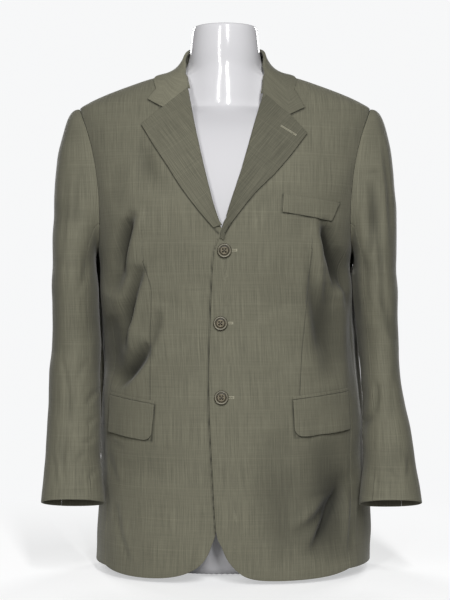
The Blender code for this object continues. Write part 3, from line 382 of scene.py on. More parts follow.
HOLE_START = 2  # from the button's middle to where its buttonhole starts, and to where it ends
HOLE_REACH = 17.5
HOLE_TILT = 0.4
HOLE_STITCH = 0.55
HOLE_LIFT = 0.2
HOLE_WIDTH = 3.8
HOLE_GAP = 0.14  # from its middle line to the stitches, as a share of its width
BAR_STITCH = 0.35  # from one stitch of the end bar to the next
BAR_STITCHES = 3
HOLE_THREAD_RADIUS = 0.26
LAPEL_HOLE = ((82, 682), (103.5, 668.5))
LAPEL_HOLE_LIFT = 0.3
LAPEL_HOLE_WIDTH = 2.4
LAPEL_THREAD_RADIUS = 0.3
BUTTONS = {"x": (-1, -6.6, -5.2), "z": (498, 392, 284)}
BUTTON_SHANK = 0.4  # clear space under a button, where its thread runs
# Out from its axis and up, from the middle of its face to the middle of its back.
BUTTON_PROFILE = ((0, 2.05), (2.4, 2.15), (4.4, 2.5), (5.4, 2.45), (6.0, 1.7), (7.0, 1.5),
                  (7.5, 2.4), (8.0, 3.25), (8.7, 3.6), (9.4, 3.5), (10.1, 3.05), (10.5, 2.3),
                  (10.3, 1.4), (9.2, 0.35), (7.5, 0), (0, 0))
BUTTON_TURNS = 48
BUTTON_SHARP = 50  # edges turned by more degrees than this stay sharp
HOLE_CORNERS = ((1, 1), (-1, 1), (-1, -1), (1, -1))
HOLE_RADIUS = 1.4
HOLE_SIDES = 20
HOLE_OFFSET = 2.0
DRILL_DEPTH = 10.8
# a button's groove lies between these radii, and is painted dark as shade
GROOVE_REACH = (5.5, 7.4)
SIDE_REACH = 9.6  # from here out a button's side is painted dark, as the shade round its rim
UPRIGHT = 0.2  # a face whose normal rises less than this is a wall of a hole
STRAND_SHIFTS = (-0.35, 0.35)  # of the two strands between each pair of holes
STRAND_TOP = 2.9
STRAND_BEND = 0.5  # how far below the top a strand bends out of its hole
STRAND_IN = 0.6  # how far in it is by then, as a share of the hole's place
STRAND_OVER = 0.1

# ---- how finely the cloth is made --------------------------------------------------------------
FINE_DOWN = 7  # fine rows for each row of the plan, along the seams
FINE_ACROSS = 5
RIM_BEVEL = 0.0007  # metres
RIM_ANGLE = 40  # degrees
HEM_TURN = 38  # how much of the inner side at a hem is the turned-up cloth
# what a piece reads where it is given no shades: no dart or laid edge near, so no painted shadow, no painted
# light and shade, and no painted shade of folds
PLAIN_SHADES = {"dart": 100.0, "edge": 100.0, "tone": 0.0, "hollow": 0.0}
GRAIN_STEPS = 20
FACING = 75  # how far in from its edge a front's inner side is faced with its own cloth
OVERLAP_SHADE = 1.3  # how far past the left front's edge the painted shadow on the right front is darkest

# ---- floor, light and camera, in metres and watts ----------------------------------------------
CAMERA_PLACE = (0, -2.3, 0.416)
CAMERA_LENS = 89.64
WORLD_COLOUR = (0.93, 0.935, 0.94)
WORLD_SHARE = 0.08  # of the backdrop's brightness, what its light adds to the object
FLOOR_GLOW = 0.52  # how bright the floor shows beside the backdrop, and how bright it lights the object
FLOOR_BOUNCE = 0.06
FLOOR_FADE = (0.35, 0.9)  # where the floor starts to pass into the backdrop, and where it has
FLOOR_SIZE = 12
LIGHTS = [
    # name, place, aimed at, size, power
    ("tall_left", (-0.75, -2.4, 1.1), (0, 0, 0.45), (0.22, 1.5), 22),
    ("tall_right", (0.36, -2.4, 1.75), (0, 0, 0.55), (0.22, 1.5), 54),
    ("back_left", (1.25, 2.3, 1.2), (0, 0, 0.42), (0.9, 1.5), 34),
    ("back_right", (-1.25, 2.3, 1.2), (0, 0, 0.42), (0.9, 1.5), 34),
]


# ---- materials -----------------------------------------------------------------------------------
WOOL_DARK = (0.092, 0.089, 0.064)
WOOL_LIGHT = (0.212, 0.204, 0.146)
# the near-black that painted shade and painted shadow take the wool towards
WOOL_PAINTED_SHADE = (0.012, 0.012, 0.009)
THREADS = (
    # stretch across and up the cloth, detail, roughness and strength of each noise
    (760, 16, 3.0, 0.62, 2.1),  # warp
    (1900, 60, 1.0, 0.5, 0.6),  # fine warp
    (14, 820, 3.0, 0.6, 0.85),  # weft
    (9, 7, 2.0, 0.5, 0.35),  # mottle
)
THREAD_SHADE = 0.62
CHECK_SPACING = 0.045  # metres between the lines of the wool's wide check
CHECK_LINE = 0.0011  # half the width of such a line
CHECK_SHADES = (0.16, 0.13)  # how much lighter its upright and its level lines are
DART_LINE = 1.3  # millimetres beside a dart's seam that are pressed in
DART_SHADE = 0.45
# how far the painted shade of the deepest folds darkens the wool
FOLD_SHADE_STRENGTH = 0.9
# how far the painted shadow darkens the wool right beside the edge of a piece lying on it
EDGE_SHADE = 0.95
EDGE_REACH = 3.8  # millimetres from a laid edge that the painted shadow reaches
WOOL_RELIEF = (0.35, 1.6, 0.0004)  # of its threads, of a dart's seam, and of both in metres
NECK_LINE = 0.709  # height in metres where the form's glossy neck starts
NECK_LINE_WIDTH = 0.0015
CHEST_COLOUR = (0.60, 0.595, 0.615)
NECK_COLOUR = (0.68, 0.675, 0.695)
CHEST_ROUGHNESS = 0.62
NECK_POLISH = 0.48  # how much less rough the neck is
FORM_BUMP = 0.00005
GRAIN_CONTRAST = 1.8
PAPER = (0.6, 0.6, 0.6)


class Value:
    """What a material's node gives. Python's operators on it add Math nodes."""

    def __init__(self, finish, socket):
        self.finish = finish
        self.socket = socket

    def math(self, operation, *others):
        return self.finish.add("ShaderNodeMath", {"operation": operation}, [self, *others])

    def __add__(self, other):
        return self.math("ADD", other)

    def __mul__(self, other):
        return self.math("MULTIPLY", other)

    def __sub__(self, other):
        return self.math("SUBTRACT", other)

    def __rsub__(self, other):
        return self * -1 + other

    def __truediv__(self, other):
        return self.math("DIVIDE", other)

    def clamped(self):
        return self.math("MAXIMUM", 0.0).math("MINIMUM", 1.0)


class Finish:
    """A material under way: its nodes, and the shader that they feed."""

    def __init__(self, name, **constants):
        self.made = bpy.data.materials.new(name)
        self.made.use_nodes = True
        self.tree = self.made.node_tree
        self.shader = self.tree.nodes["Principled BSDF"]
        for socket, value in constants.items():
            self.shader.inputs[socket.replace("_", " ")].default_value = value

    def add(self, kind, settings, inputs, output=0):
        node = self.tree.nodes.new(kind)
        for setting, value in settings.items():
            setattr(node, setting, value)
        for key, value in inputs.items() if isinstance(inputs, dict) else enumerate(inputs):
            if isinstance(value, Value):
                self.tree.links.new(value.socket, node.inputs[key])
            else:
                node.inputs[key].default_value = value
        return Value(self, node.outputs[output])

    def on_cloth(self, across=1, up=1):
        """Places on the flat cloth, in metres, stretched by the two scales."""
        flat = self.add("ShaderNodeUVMap", {"uv_map": "cloth"}, {})
        return self.add("ShaderNodeMapping", {}, {"Vector": flat, "Scale": (across, up, 1)})

    def on_object(self):
        return self.add("ShaderNodeTexCoord", {}, {}, "Object")

    def axis(self, place, number):
        return self.add("ShaderNodeSeparateXYZ", {}, [place], number)

    def shade(self, name):
        """One of the shades that cloth_piece gives its points."""
        return self.add("ShaderNodeAttribute", {"attribute_name": name}, {}, "Fac")

    def camera_ray(self):
        return self.add("ShaderNodeLightPath", {}, {}, "Is Camera Ray")

    def noise(self, place, scale=1.0, detail=4.0, roughness=0.5):
        inputs = {"Vector": place, "Scale": scale, "Detail": detail, "Roughness": roughness}
        return self.add("ShaderNodeTexNoise", {}, inputs)

    def mixed(self, share, *colours):
        """From the first colour to the second, as the share goes from 0 to 1."""
        low, high = (colour if isinstance(colour, Value) else (*colour, 1) for colour in colours)
        return self.add("ShaderNodeMix", {"data_type": "RGBA"}, {0: share, 6: low, 7: high}, 2)

    def bump(self, height, distance):
        return self.add("ShaderNodeBump", {}, {"Height": height, "Distance": distance, "Strength": 1.0})

    def feed(self, **sockets):
        for socket, value in sockets.items():
            self.tree.links.new(value.socket, self.shader.inputs[socket.replace("_", " ")])
        return self.made


def every(value, spacing, half_width):
    """1 on evenly spaced lines, falling to 0 at the half width."""
    return (1 - value.math("PINGPONG", spacing / 2) / half_width).clamped()


def wool_finish():
    """Sharkskin wool: uneven light and dark threads both ways and a very faint wide check, with painted shade
    in its folds, painted shadow beside the pieces lying on it, and painted light and shade on lapels and
    collar.
    """
    wool = Finish("wool_suiting", Roughness=0.82, Sheen_Weight=0.12, Sheen_Roughness=0.45,
                  Specular_IOR_Level=0.3)
    warp, fine_warp, weft, mottle = (
        (wool.noise(wool.on_cloth(across, up), 1.0, detail, roughness) - 0.5) * strength
        for across, up, detail, roughness, strength in THREADS)
    threads = warp + fine_warp + weft + mottle
    upright, level = (every(wool.axis(wool.on_cloth(), number), CHECK_SPACING, CHECK_LINE) * lighter
                      for number, lighter in enumerate(CHECK_SHADES))
    sewn = (1 - wool.shade("dart").math("ABSOLUTE") / DART_LINE).clamped()
    # the shade also takes in the painted light and shade given to lapels and collar
    shade = threads * THREAD_SHADE + 0.5 + wool.shade("tone") + (upright + level) - sewn * DART_SHADE
    lit = wool.mixed(shade.clamped(), WOOL_DARK, WOOL_LIGHT)
    # painted shadow along the edges of pieces lying on the cloth, darkest right beside them
    beside = (1 - wool.shade("edge").math("ABSOLUTE") / EDGE_REACH).clamped()
    # painted shade deepening with the folds, together with that painted shadow, darkens the wool towards
    # near-black
    dark = wool.shade("hollow") * FOLD_SHADE_STRENGTH + beside * beside * EDGE_SHADE
    height = threads * WOOL_RELIEF[0] - sewn * WOOL_RELIEF[1]
    return wool.feed(Base_Color=wool.mixed(dark.clamped(), lit, WOOL_PAINTED_SHADE),
                     Normal=wool.bump(height, WOOL_RELIEF[2]))


def plain_finish(name, colour, spread, scale, bump, **constants):
    """A finish whose colour and height both follow one noise on the piece itself."""
    finish = Finish(name, **constants)
    grain = finish.noise(finish.on_object(), scale)
    low, high = ([c * (1 + change) for c in colour] for change in (-spread, spread))
    shade = ((grain - 0.5) * GRAIN_CONTRAST + 0.5).clamped()
    return finish.feed(Base_Color=finish.mixed(shade, low, high), Normal=finish.bump(grain, bump))


def form_finish():
    """White moulding: a glossy neck, and a matt chest from a sharp line down."""
    form = Finish("form_moulding", Specular_IOR_Level=0.5)
    neck = ((form.axis(form.on_object(), 2) - NECK_LINE) / NECK_LINE_WIDTH).clamped()
    return form.feed(Base_Color=form.mixed(neck, CHEST_COLOUR, NECK_COLOUR),
                     Roughness=CHEST_ROUGHNESS - neck * NECK_POLISH,
                     Normal=form.bump(form.noise(form.on_object(), 30), FORM_BUMP))


def floor_finish():
    """Pale paper that passes into the bright backdrop some way from the object."""
    paper = Finish("floor_paper", Roughness=0.9, Emission_Strength=1.0, Specular_IOR_Level=0.0)
    away = paper.add("ShaderNodeVectorMath", {"operation": "LENGTH"}, [paper.on_object()], "Value")
    fade = ((away - FLOOR_FADE[0]) / (FLOOR_FADE[1] - FLOOR_FADE[0])).clamped()
    glow, bounce = ([channel * share for channel in WORLD_COLOUR] for share in (FLOOR_GLOW, FLOOR_BOUNCE))
    shown = paper.mixed(fade, glow, WORLD_COLOUR)
    return paper.feed(Base_Color=paper.mixed(fade, PAPER, (0, 0, 0)),
                      Emission_Color=paper.mixed(paper.camera_ray(), bounce, shown))


WOOL = wool_finish()
LINING = plain_finish("lining_satin", (0.016, 0.016, 0.018), 0.15, 900, 0.0001, Roughness=0.42)
HORN = plain_finish("button_horn", (0.2, 0.185, 0.135), 0.35, 260, 0.00004, Roughness=0.35)
MIDDLE = plain_finish("button_middle", (0.195, 0.17, 0.12), 0.3, 400, 0.00004, Roughness=0.7,
                      Specular_IOR_Level=0.15)
# painted shade on a button: its groove, the walls of its holes and its outer side
BUTTON_PAINTED_SHADE = plain_finish("painted_button_shade", (0.05, 0.042, 0.027), 0.3, 400, 0.00004, Roughness=0.5)
SEAM_THREAD = plain_finish("sewing_thread", (0.12, 0.115, 0.085), 0.2, 2500, 0.0001, Roughness=0.7)
HOLE_THREAD = plain_finish("buttonhole_thread", (0.4, 0.38, 0.285), 0.2, 2500, 0.0001, Roughness=0.65)
LAPEL_THREAD = plain_finish("lapel_hole_thread", (0.36, 0.345, 0.26), 0.15, 2500, 0.0001, Roughness=0.65)
BUTTON_THREAD = plain_finish("button_thread", (0.06, 0.052, 0.04), 0.2, 2500, 0.0001, Roughness=0.7)
FLOOR = floor_finish()
FORM = form_finish()


# ---- curves, lengths and directions -----------------------------------------------------------
def unit(vectors):
    return vectors / np.linalg.norm(vectors, axis=-1, keepdims=True)


def curve(t, start, leaving, end, arriving):
    """From start to end as t goes from 0 to 1, leaving and arriving at the given slopes."""
    return ((2 * t ** 3 - 3 * t ** 2 + 1) * start + (t ** 3 - 2 * t ** 2 + t) * leaving
            + (3 * t ** 2 - 2 * t ** 3) * end + (t ** 3 - t ** 2) * arriving)


def smooth(table, column, at):
    """Reads a column of a table at any height, on a curve that never overshoots its rows."""
    x = np.array(table["at"] if "at" in table else table["z"], float)
    y = np.array(table[column], float)
    if x[0] > x[-1]:
        x, y = x[::-1], y[::-1]
    step = np.diff(x)
    rise = np.diff(y) / step
    before, after = np.append(rise[0], rise), np.append(rise, rise[-1])
    steepest = 3 * np.minimum(np.abs(before), np.abs(after)) * (before * after > 0)
    slope = np.clip((before + after) / 2, -steepest, steepest)
    at = np.clip(np.asarray(at, float), x[0], x[-1])
    i = np.clip(np.searchsorted(x, at, side="right") - 1, 0, len(step) - 1)
    return curve((at - x[i]) / step[i], y[i], step[i] * slope[i], y[i + 1], step[i] * slope[i + 1])


def read(table, columns, at):
    return [smooth(table, column, at) for column in columns.split()]


def read_again(line, at, again):
    """A line whose points are known at some places, read on its own curve at others."""
    return np.stack([smooth({"at": at, "value": column}, "value", again) for column in line.T], -1)


def lengths_along(points, axis=0):
    """How far along its rows or columns each of a grid's points is."""
    step = np.linalg.norm(np.diff(points, axis=axis), axis=-1)
    return np.concatenate([np.zeros_like(np.take(step, [0], axis)), np.cumsum(step, axis)], axis)


def apart(points):
    """The angles and heights of (angle, z) points."""
    return points[..., 0], points[..., 1]


def as_points(corners):
    """A table's columns x and z as points."""
    return np.stack([corners["x"], corners["z"]], -1).astype(float)


# ---- the garment's surface ------------------------------------------------------------------------
def oval(angle, half_width, front, back, square):
    """A point of an oval section: how far across from its middle, and how far towards the back."""
    turn = np.radians(angle)
    across = np.sign(np.cos(turn)) * np.abs(np.cos(turn)) ** (2 / square) * half_width
    reach = np.abs(np.sin(turn)) ** (2 / square)
    return across, np.where(np.sin(turn) > 0, -reach * front, reach * back)


def bare_surface(side, angle, z):
    across, y = oval(angle, *read(GARMENT, "width front back square", z))
    lean, side_y = read(GARMENT, "lean side_y", z)
    return np.stack([side * across + lean, y + side_y, z * np.ones_like(across)], -1)


def off_armhole(angle, z):
    """0 on the armhole seam, where the folds are sewn down, rising to 1 a little way off it."""
    reach = np.where(angle > 0, ARMHOLE["front_reach"], ARMHOLE["back_reach"])
    from_middle = np.hypot(angle / reach, (z - ARMHOLE["middle"]) / ARMHOLE["half_height"])
    return np.clip((from_middle - 1) / ARMHOLE_CALM, 0, 1)


def slopes_of(surface, side, angle, z, turn, rise):
    """How the surface goes on round and up, from just before each point to just past it."""
    return (surface(side, angle + turn, z) - surface(side, angle - turn, z),
            surface(side, angle, z + rise) - surface(side, angle, z - rise))


def normal_of(surface, side, angle, z):
    """The surface's unit normal, pointing out."""
    along, up = slopes_of(surface, side, angle, z, *NORMAL_REACH)
    return unit(side * np.cross(up, along))


def crease_height(creases, side, point, angle, fading=CREASE_FADING):
    """How far a table's creases move the cloth at a point: a trough, and a ridge beside it."""
    power, share, turning = fading
    x, z = side * point[..., 0], point[..., 2]
    height = np.zeros_like(x)
    for face in (1, -1):
        facing = np.clip(face * np.sin(np.radians(angle)) * turning, 0, 1)
        for x0, z0, x1, z1, bend, width, depth, ridge in creases[side, face]:
            length = math.hypot(x1 - x0, z1 - z0)
            along = ((x - x0) * (x1 - x0) + (z - z0) * (z1 - z0)) / length ** 2
            across = ((x - x0) * (z1 - z0) - (z - z0) * (x1 - x0)) / length
            across = (across + bend * (1 - (2 * along - 1) ** 2)) / width
            taper = np.clip(1 - np.abs(2 * along - 1) ** power / share, 0, 1)
            shape = np.exp(-across ** 2) - ridge * np.exp(-(across - RIDGE_PLACE) ** 2)
            height += depth * taper * facing * shape
    return height


def swell_height(point):
    """Slow uneven swells of the cloth, as waves that cross each other."""
    height = np.zeros_like(point[..., 0])
    for length, lean, phase, most in zip(*SWELLS.values()):
        lean = math.radians(lean)
        across = (point[..., 0] + SWELL_DEPTH * point[..., 1]) * math.cos(lean)
        height += most * np.sin((across + point[..., 2] * math.sin(lean)) * math.tau / length + phase)
    return height


def calm(point, angle):
    """0 where the cloth lies smooth: by the overlap, on the shoulders and at the back seam."""
    overlap = np.clip((np.abs(point[..., 0]) - CALM_OVERLAP[0]) / CALM_OVERLAP[1], 0, 1)
    shoulder = np.clip((sum(CALM_SHOULDER_Z) - point[..., 2]) / CALM_SHOULDER_Z[1], 0, 1)
    back_seam = np.clip((angle + 90) / CALM_BACK_SEAM, 0, 1)
    return np.where(angle > 0, overlap, back_seam) * shoulder


def cloth_height(side, point, angle):
    """How far folds, creases and swells lift the body's cloth at a point of the bare surface."""
    folds = crease_height(FOLDS, side, point, angle, FOLD_FADING)
    creases = crease_height(BODY_CREASES, side, point, angle) + swell_height(point)
    return (folds + creases * calm(point, angle)) * off_armhole(angle, point[..., 2])


def painted_shade_of_folds(height):
    """How much painted shade the cloth gets, from 0 to 1, by how deep in its folds it lies."""
    return np.clip(-height / FOLD_SHADE_DEPTH, 0, 1)


def folded_surface(side, angle, z):
    point = bare_surface(side, angle, z)
    height = cloth_height(side, point, angle)
    return point + normal_of(bare_surface, side, angle, z) * height[..., None]


def cloth_points(side, angle, z, lift):
    """Points of the folded surface, moved out along its normal by the lift."""
    lift = np.broadcast_to(lift, angle.shape)
    return folded_surface(side, angle, z) + normal_of(folded_surface, side, angle, z) * lift[..., None]


def angle_at(side, x, z):
    """The angle on the front where the surface lies at x, measured out from the body's middle."""
    width, lean, square = read(GARMENT, "width lean square", z)
    share = np.clip((x - side * lean) / width, -1, 1)
    return np.degrees(np.arccos(np.sign(share) * np.abs(share) ** (square / 2)))


def on_front(side, points):
    """(x, z) points as (angle, z) points of the surface."""
    points = np.asarray(points, float)
    return np.stack([angle_at(side, *apart(points)), points[..., 1]], -1)


def even_line(side, line, rows):
    """A line of (angle, z) points read again at even steps along its real length."""
    length = lengths_along(bare_surface(side, *apart(line)))
    return read_again(line, length, np.linspace(0, length[-1], rows + 1))


def front_line(side, points):
    """The line on the front through (x, z) points, close-set enough to stay straight between them."""
    points = np.asarray(points, float)
    at = np.arange(len(points))
    return on_front(side, read_again(points, at, np.linspace(0, at[-1], LINE_FINE * at[-1] + 1)))


def even_front(side, points, rows):
    return even_line(side, front_line(side, points), rows)


def under_left_front(side, angle, z):
    """How far a point of the right front sinks to pass under the left one."""
    if side > 0:
        return np.zeros_like(angle)
    across = (bare_surface(side, angle, z)[..., 0] - UNDERLAP_START[0]) / UNDERLAP_EASE[0]
    down = (UNDERLAP_START[1] - z) / UNDERLAP_EASE[1]
    return UNDERLAP * np.clip(across, 0, 1) * np.clip(down, 0, 1)


# ---- patches of the surface, at the plan's fineness and finer ------------------------------
def patch(bottom, top, inner, outer):
    """Fills four edges with a grid. Bottom and top run from inner to outer, and the others up."""
    across = np.linspace(0, 1, len(bottom))[None, :, None]
    up = np.linspace(0, 1, len(inner))[:, None, None]
    ruled = ((1 - up) * bottom[None] + up * top[None]
             + (1 - across) * inner[:, None] + across * outer[:, None])
    corners = ((1 - up) * ((1 - across) * bottom[0] + across * bottom[-1])
               + up * ((1 - across) * top[0] + across * top[-1]))
    return ruled - corners


def evened(side, grid):
    """Slides a grid's inner points along the surface until each lies midway between its neighbours."""
    for _ in range(EVENING_STEPS):
        points = bare_surface(side, *apart(grid))
        middle = (points[2:, 1:-1] + points[:-2, 1:-1] + points[1:-1, 2:] + points[1:-1, :-2]) / 4
        angle, z = apart(grid[1:-1, 1:-1])
        slopes = np.stack(slopes_of(bare_surface, side, angle, z, EVENING_REACH, EVENING_REACH), -1)
        slide = np.linalg.pinv(slopes) @ (middle - points[1:-1, 1:-1])[..., None]
        grid[1:-1, 1:-1] += EVENING_PACE * slide[..., 0]
    return grid


def drawn_in(points, distance=SEAM / 2):
    """A grid of points with its four edges drawn in, which leaves room along its seams."""
    moved = points.copy()
    for edge, inside in ((np.s_[0], np.s_[1]), (np.s_[-1], np.s_[-2]),
                         (np.s_[:, 0], np.s_[:, 1]), (np.s_[:, -1], np.s_[:, -2])):
        moved[edge] += distance * unit(points[inside] - points[edge])
    return moved


def spread_rows(grid, finer):
    at = np.linspace(0, len(grid) - 1, (len(grid) - 1) * finer + 1)
    low = np.minimum(at.astype(int), len(grid) - 2)
    share = (at - low)[:, None, None]
    return grid[low] * (1 - share) + grid[low + 1] * share


def fine_grid(side, plan, down, across):
    """A panel's grid at full fineness, its inner points slid as the plan's are when it is evened."""
    coarse = plan(1, 1)
    slide = evened(side, coarse.copy()) - coarse
    slide = spread_rows(spread_rows(slide, down).swapaxes(0, 1), across).swapaxes(0, 1)
    return plan(down, across) + slide


def metres(points):
    """Points in millimetres as points of the frame, over the surface that the form stands on."""
    return (points - [0, 0, GROUND_Z]) * MM


def body_grain(side, grid, centre):
    """Where the points lie on flat cloth: how far round from a centre seam, and how far up."""
    angle, z = apart(grid)
    share = np.linspace(0, 1, GRAIN_STEPS + 1)[:, None, None]
    round_it = bare_surface(side, centre + (angle - centre) * share, z + 0 * share)
    up = bare_surface(side, angle + 0 * share, FRONT_HEM_Z + (z - FRONT_HEM_Z) * share)
    return np.stack([side * lengths_along(round_it)[-1], lengths_along(up)[-1]], -1)


def cut_of(points):
    """The width, length and area of a grid of points laid flat, in metres and square metres."""
    width = lengths_along(points, 1)[:, -1].max() * MM
    length = lengths_along(points)[-1].max() * MM
    crossed = np.cross(points[1:, 1:] - points[:-1, :-1], points[:-1, 1:] - points[1:, :-1])
    return width, length, np.linalg.norm(crossed, axis=-1).sum() / 2 * MM ** 2


def face_centres(grid):
    return (grid[:-1, :-1] + grid[1:, :-1] + grid[1:, 1:] + grid[:-1, 1:]) / 4


def linked(name, data):
    """A new object of the scene."""
    obj = bpy.data.objects.new(name, data)
    bpy.context.scene.collection.objects.link(obj)
    return obj


def mesh_object(name, made):
    mesh = bpy.data.meshes.new(name)
    made.to_mesh(mesh)
    made.free()
    return linked(name, mesh)


def cloth_piece(stands_for, points, outward, grain, held, rests_on, lined=False, wall=CLOTH, **shades):
    """A piece of cloth through a grid of points, with its wall grown inwards from them.

    outward is the grid's unit normals, grain its places on the flat cloth, and lined the faces
    whose inner side shows the lining. The shades are what the wool reads at each point: dart is how
    far it is from a dart's seam; edge is how far it is from the edge of a piece that lies on it, for
    the painted shadow there; the third is the painted light and shade of a lapel or the collar,
    lighter or darker as the light falls on it; and the last is the painted shade of how deep it lies
    in a fold.
    """
    rows, columns = points.shape[:2]
    cloth = bmesh.new()
    bmesh.ops.create_grid(cloth, x_segments=columns - 1, y_segments=rows - 1, size=1)
    for vert, place in zip(cloth.verts, metres(points.reshape(-1, 3))):
        vert.co = place
    for shade, usual in PLAIN_SHADES.items():
        layer = cloth.verts.layers.float.new(shade)
        for vert, value in zip(cloth.verts, np.broadcast_to(shades.get(shade, usual), (rows, columns)).flat):
            vert[layer] = value
    cloth.normal_update()
    cloth.faces.ensure_lookup_table()
    middle = cloth.faces[len(cloth.faces) // 2 + columns // 2]
    if middle.normal.dot(Vector(outward.reshape(-1, 3)[middle.verts[0].index])) < 0:
        bmesh.ops.reverse_faces(cloth, faces=cloth.faces)
    flat = cloth.loops.layers.uv.new("cloth")
    places = grain.reshape(-1, 2) * MM
    for face, is_lined in zip(cloth.faces, np.broadcast_to(lined, (rows - 1, columns - 1)).flat):
        face.material_index = int(is_lined)
        for corner in face.loops:
            corner[flat].uv = places[corner.vert.index]
    piece = mesh_object(stands_for[0] + "_cloth", cloth)
    piece.data.shade_smooth()
    for finish in (WOOL, WOOL, LINING):
        piece.data.materials.append(finish)
    grown = piece.modifiers.new("wall", "SOLIDIFY")
    grown.thickness = wall * MM
    grown.offset = -1
    grown.material_offset = 1
    rounded = piece.modifiers.new("rim", "BEVEL")
    rounded.width = RIM_BEVEL
    rounded.segments = 2
    rounded.limit_method = "ANGLE"
    rounded.angle_limit = math.radians(RIM_ANGLE)
    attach(piece, "root")
    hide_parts(*stands_for)
    width, length, area = cut_of(points)


# ---- the body's seams and panels ---------------------------------------------------------------
def armhole_seam(turn):
    """Points of the armhole loop at turns counted in its segments."""
    turn = np.asarray(turn, float) * 2 * math.pi / ARMHOLE_LOOP
    reach = np.where(np.sin(turn) > 0, ARMHOLE["front_reach"], ARMHOLE["back_reach"])
    angle = reach * np.sign(np.sin(turn)) * np.abs(np.sin(turn)) ** ARMHOLE_SQUARENESS
    return np.stack([angle, ARMHOLE["middle"] + ARMHOLE["half_height"] * np.cos(turn)], -1)


def side_seam(column, top, down):
    """The seam in front of or behind the side panel, from the hem up to the armhole."""
    z = np.linspace(SIDE_HEM_Z, top[1], SEAM_ROWS * down + 1)
    angle = smooth(SIDE_SEAM, column, z)
    angle += (top[0] - angle[-1]) * ((z - SIDE_HEM_Z) / (top[1] - SIDE_HEM_Z)) ** 2
    return np.stack([angle, z], -1)


def outer_edge(column, first, last, down):
    """A front's or back's outer edge: up the side seam, then round its part of the armhole."""
    armhole = armhole_seam(np.linspace(first, last, abs(last - first) * down + 1))
    return np.concatenate([side_seam(column, armhole[0], down), armhole[1:]])


def shoulder_seam(columns):
    share = np.linspace(0, 1, columns + 1)
    drop = (SHOULDER_TIP_Z - NECK_POINT_Z) * share ** SHOULDER_DIP
    return np.stack([0 * share, NECK_POINT_Z + drop], -1)


def front_edge(side, rows):
    """A front's inner edge: the front edge, the roll line, and on to the neck point."""
    below = as_points(EDGE[side]) * (side, 1)
    rolled = as_points(ROLL[side])[1:] + (ROLL_SETBACK, 0)
    line = front_line(side, np.concatenate([below, rolled]))
    return even_line(side, np.concatenate([line, NECKLINE[:2]]), rows)


def front_plan(side, down, across):
    """A whole front: hem, side seam, armhole, shoulder seam, roll line and front edge."""
    outer = outer_edge(FRONT_SEAM[side], FRONT_SEAM_TURN, 0, down)
    inner = front_edge(side, len(outer) - 1)
    share = np.linspace(0, 1, FRONT_COLUMNS * across + 1)
    corner = (inner[0, 1] - FRONT_HEM_Z) * np.exp(-share * HEM_CORNER[side]) * (1 - share)
    hem_z = FRONT_HEM_Z + corner + (outer[0, 1] - FRONT_HEM_Z) * share ** HEM_RISE
    bottom = np.stack([inner[0, 0] + (outer[0, 0] - inner[0, 0]) * share, hem_z], -1)
    return patch(bottom, shoulder_seam(FRONT_COLUMNS * across), inner, outer)


def side_plan(side, down, across):
    """The panel under the arm, between its two seams."""
    columns = (BACK_SEAM_TURN - FRONT_SEAM_TURN) * across
    top = armhole_seam(np.linspace(FRONT_SEAM_TURN, BACK_SEAM_TURN, columns + 1))
    front = side_seam(FRONT_SEAM[side], top[0], down)
    back = side_seam("back", top[-1], down)
    return patch(np.linspace(front[0], back[0], columns + 1), top, front, back)


def back_plan(_, down, across):
    """Half of the back, from the centre seam out to the side seam and armhole, alike on both sides."""
    outer = outer_edge("back", BACK_SEAM_TURN, ARMHOLE_LOOP, down)
    centre = np.stack([np.full(len(outer), -90.0), np.linspace(SIDE_HEM_Z, NAPE_Z, len(outer))], -1)
    neck = np.linspace((-90.0, NAPE_Z), (0.0, NECK_POINT_Z), BACK_NECK_COLUMNS * across + 1)
    shoulder = shoulder_seam((BACK_COLUMNS - BACK_NECK_COLUMNS) * across)
    bottom = np.linspace(centre[0], outer[0], BACK_COLUMNS * across + 1)
    return patch(bottom, np.concatenate([neck, shoulder[1:]]), centre, outer)


def dart_distance(side, points):
    """How far the points are to one side of a front's dart, or far off past its ends."""
    dart, z = DART[side], points[..., 2]
    past = np.maximum(z - max(dart["z"]), 0) + np.maximum(min(dart["z"]) - z, 0)
    across = side * points[..., 0] - smooth(dart, "x", z)
    return across + np.sign(across) * past


def line_distance(side, points, lines):
    """How far the points are, seen from the front, from the nearest of some lines of (x, z) points."""
    flat = np.stack([side * points[..., 0], points[..., 2]], -1)
    nearest = np.full(flat.shape[:-1], PLAIN_SHADES["edge"])
    for line in lines:
        for start, end in zip(line, line[1:]):
            run = end - start
            share = np.clip((flat - start) @ run / (run @ run), 0, 1)[..., None]
            nearest = np.minimum(nearest, np.linalg.norm(flat - start - share * run, axis=-1))
    return nearest


def laid_edges(side):
    """The edges of what lies on a front, which cast a painted shadow on it: its lapel, its collar, its flap,
    and the welt or the overlap.
    """
    notch = NOTCH[side]
    collar = np.array([notch["tip"], notch["notch"], notch["collar_tip"], LEAF_CORNER], float)
    overlap = (as_points(EDGE[1]) * (-1, 1) + (OVERLAP_SHADE, 0))[1:]
    last = as_points(WELT)[[1, 2, 3, 0]] if side > 0 else overlap
    return [as_points(LAPEL[side]), collar, as_points(FLAP[side])[[1, 2, 3, 0]], last]


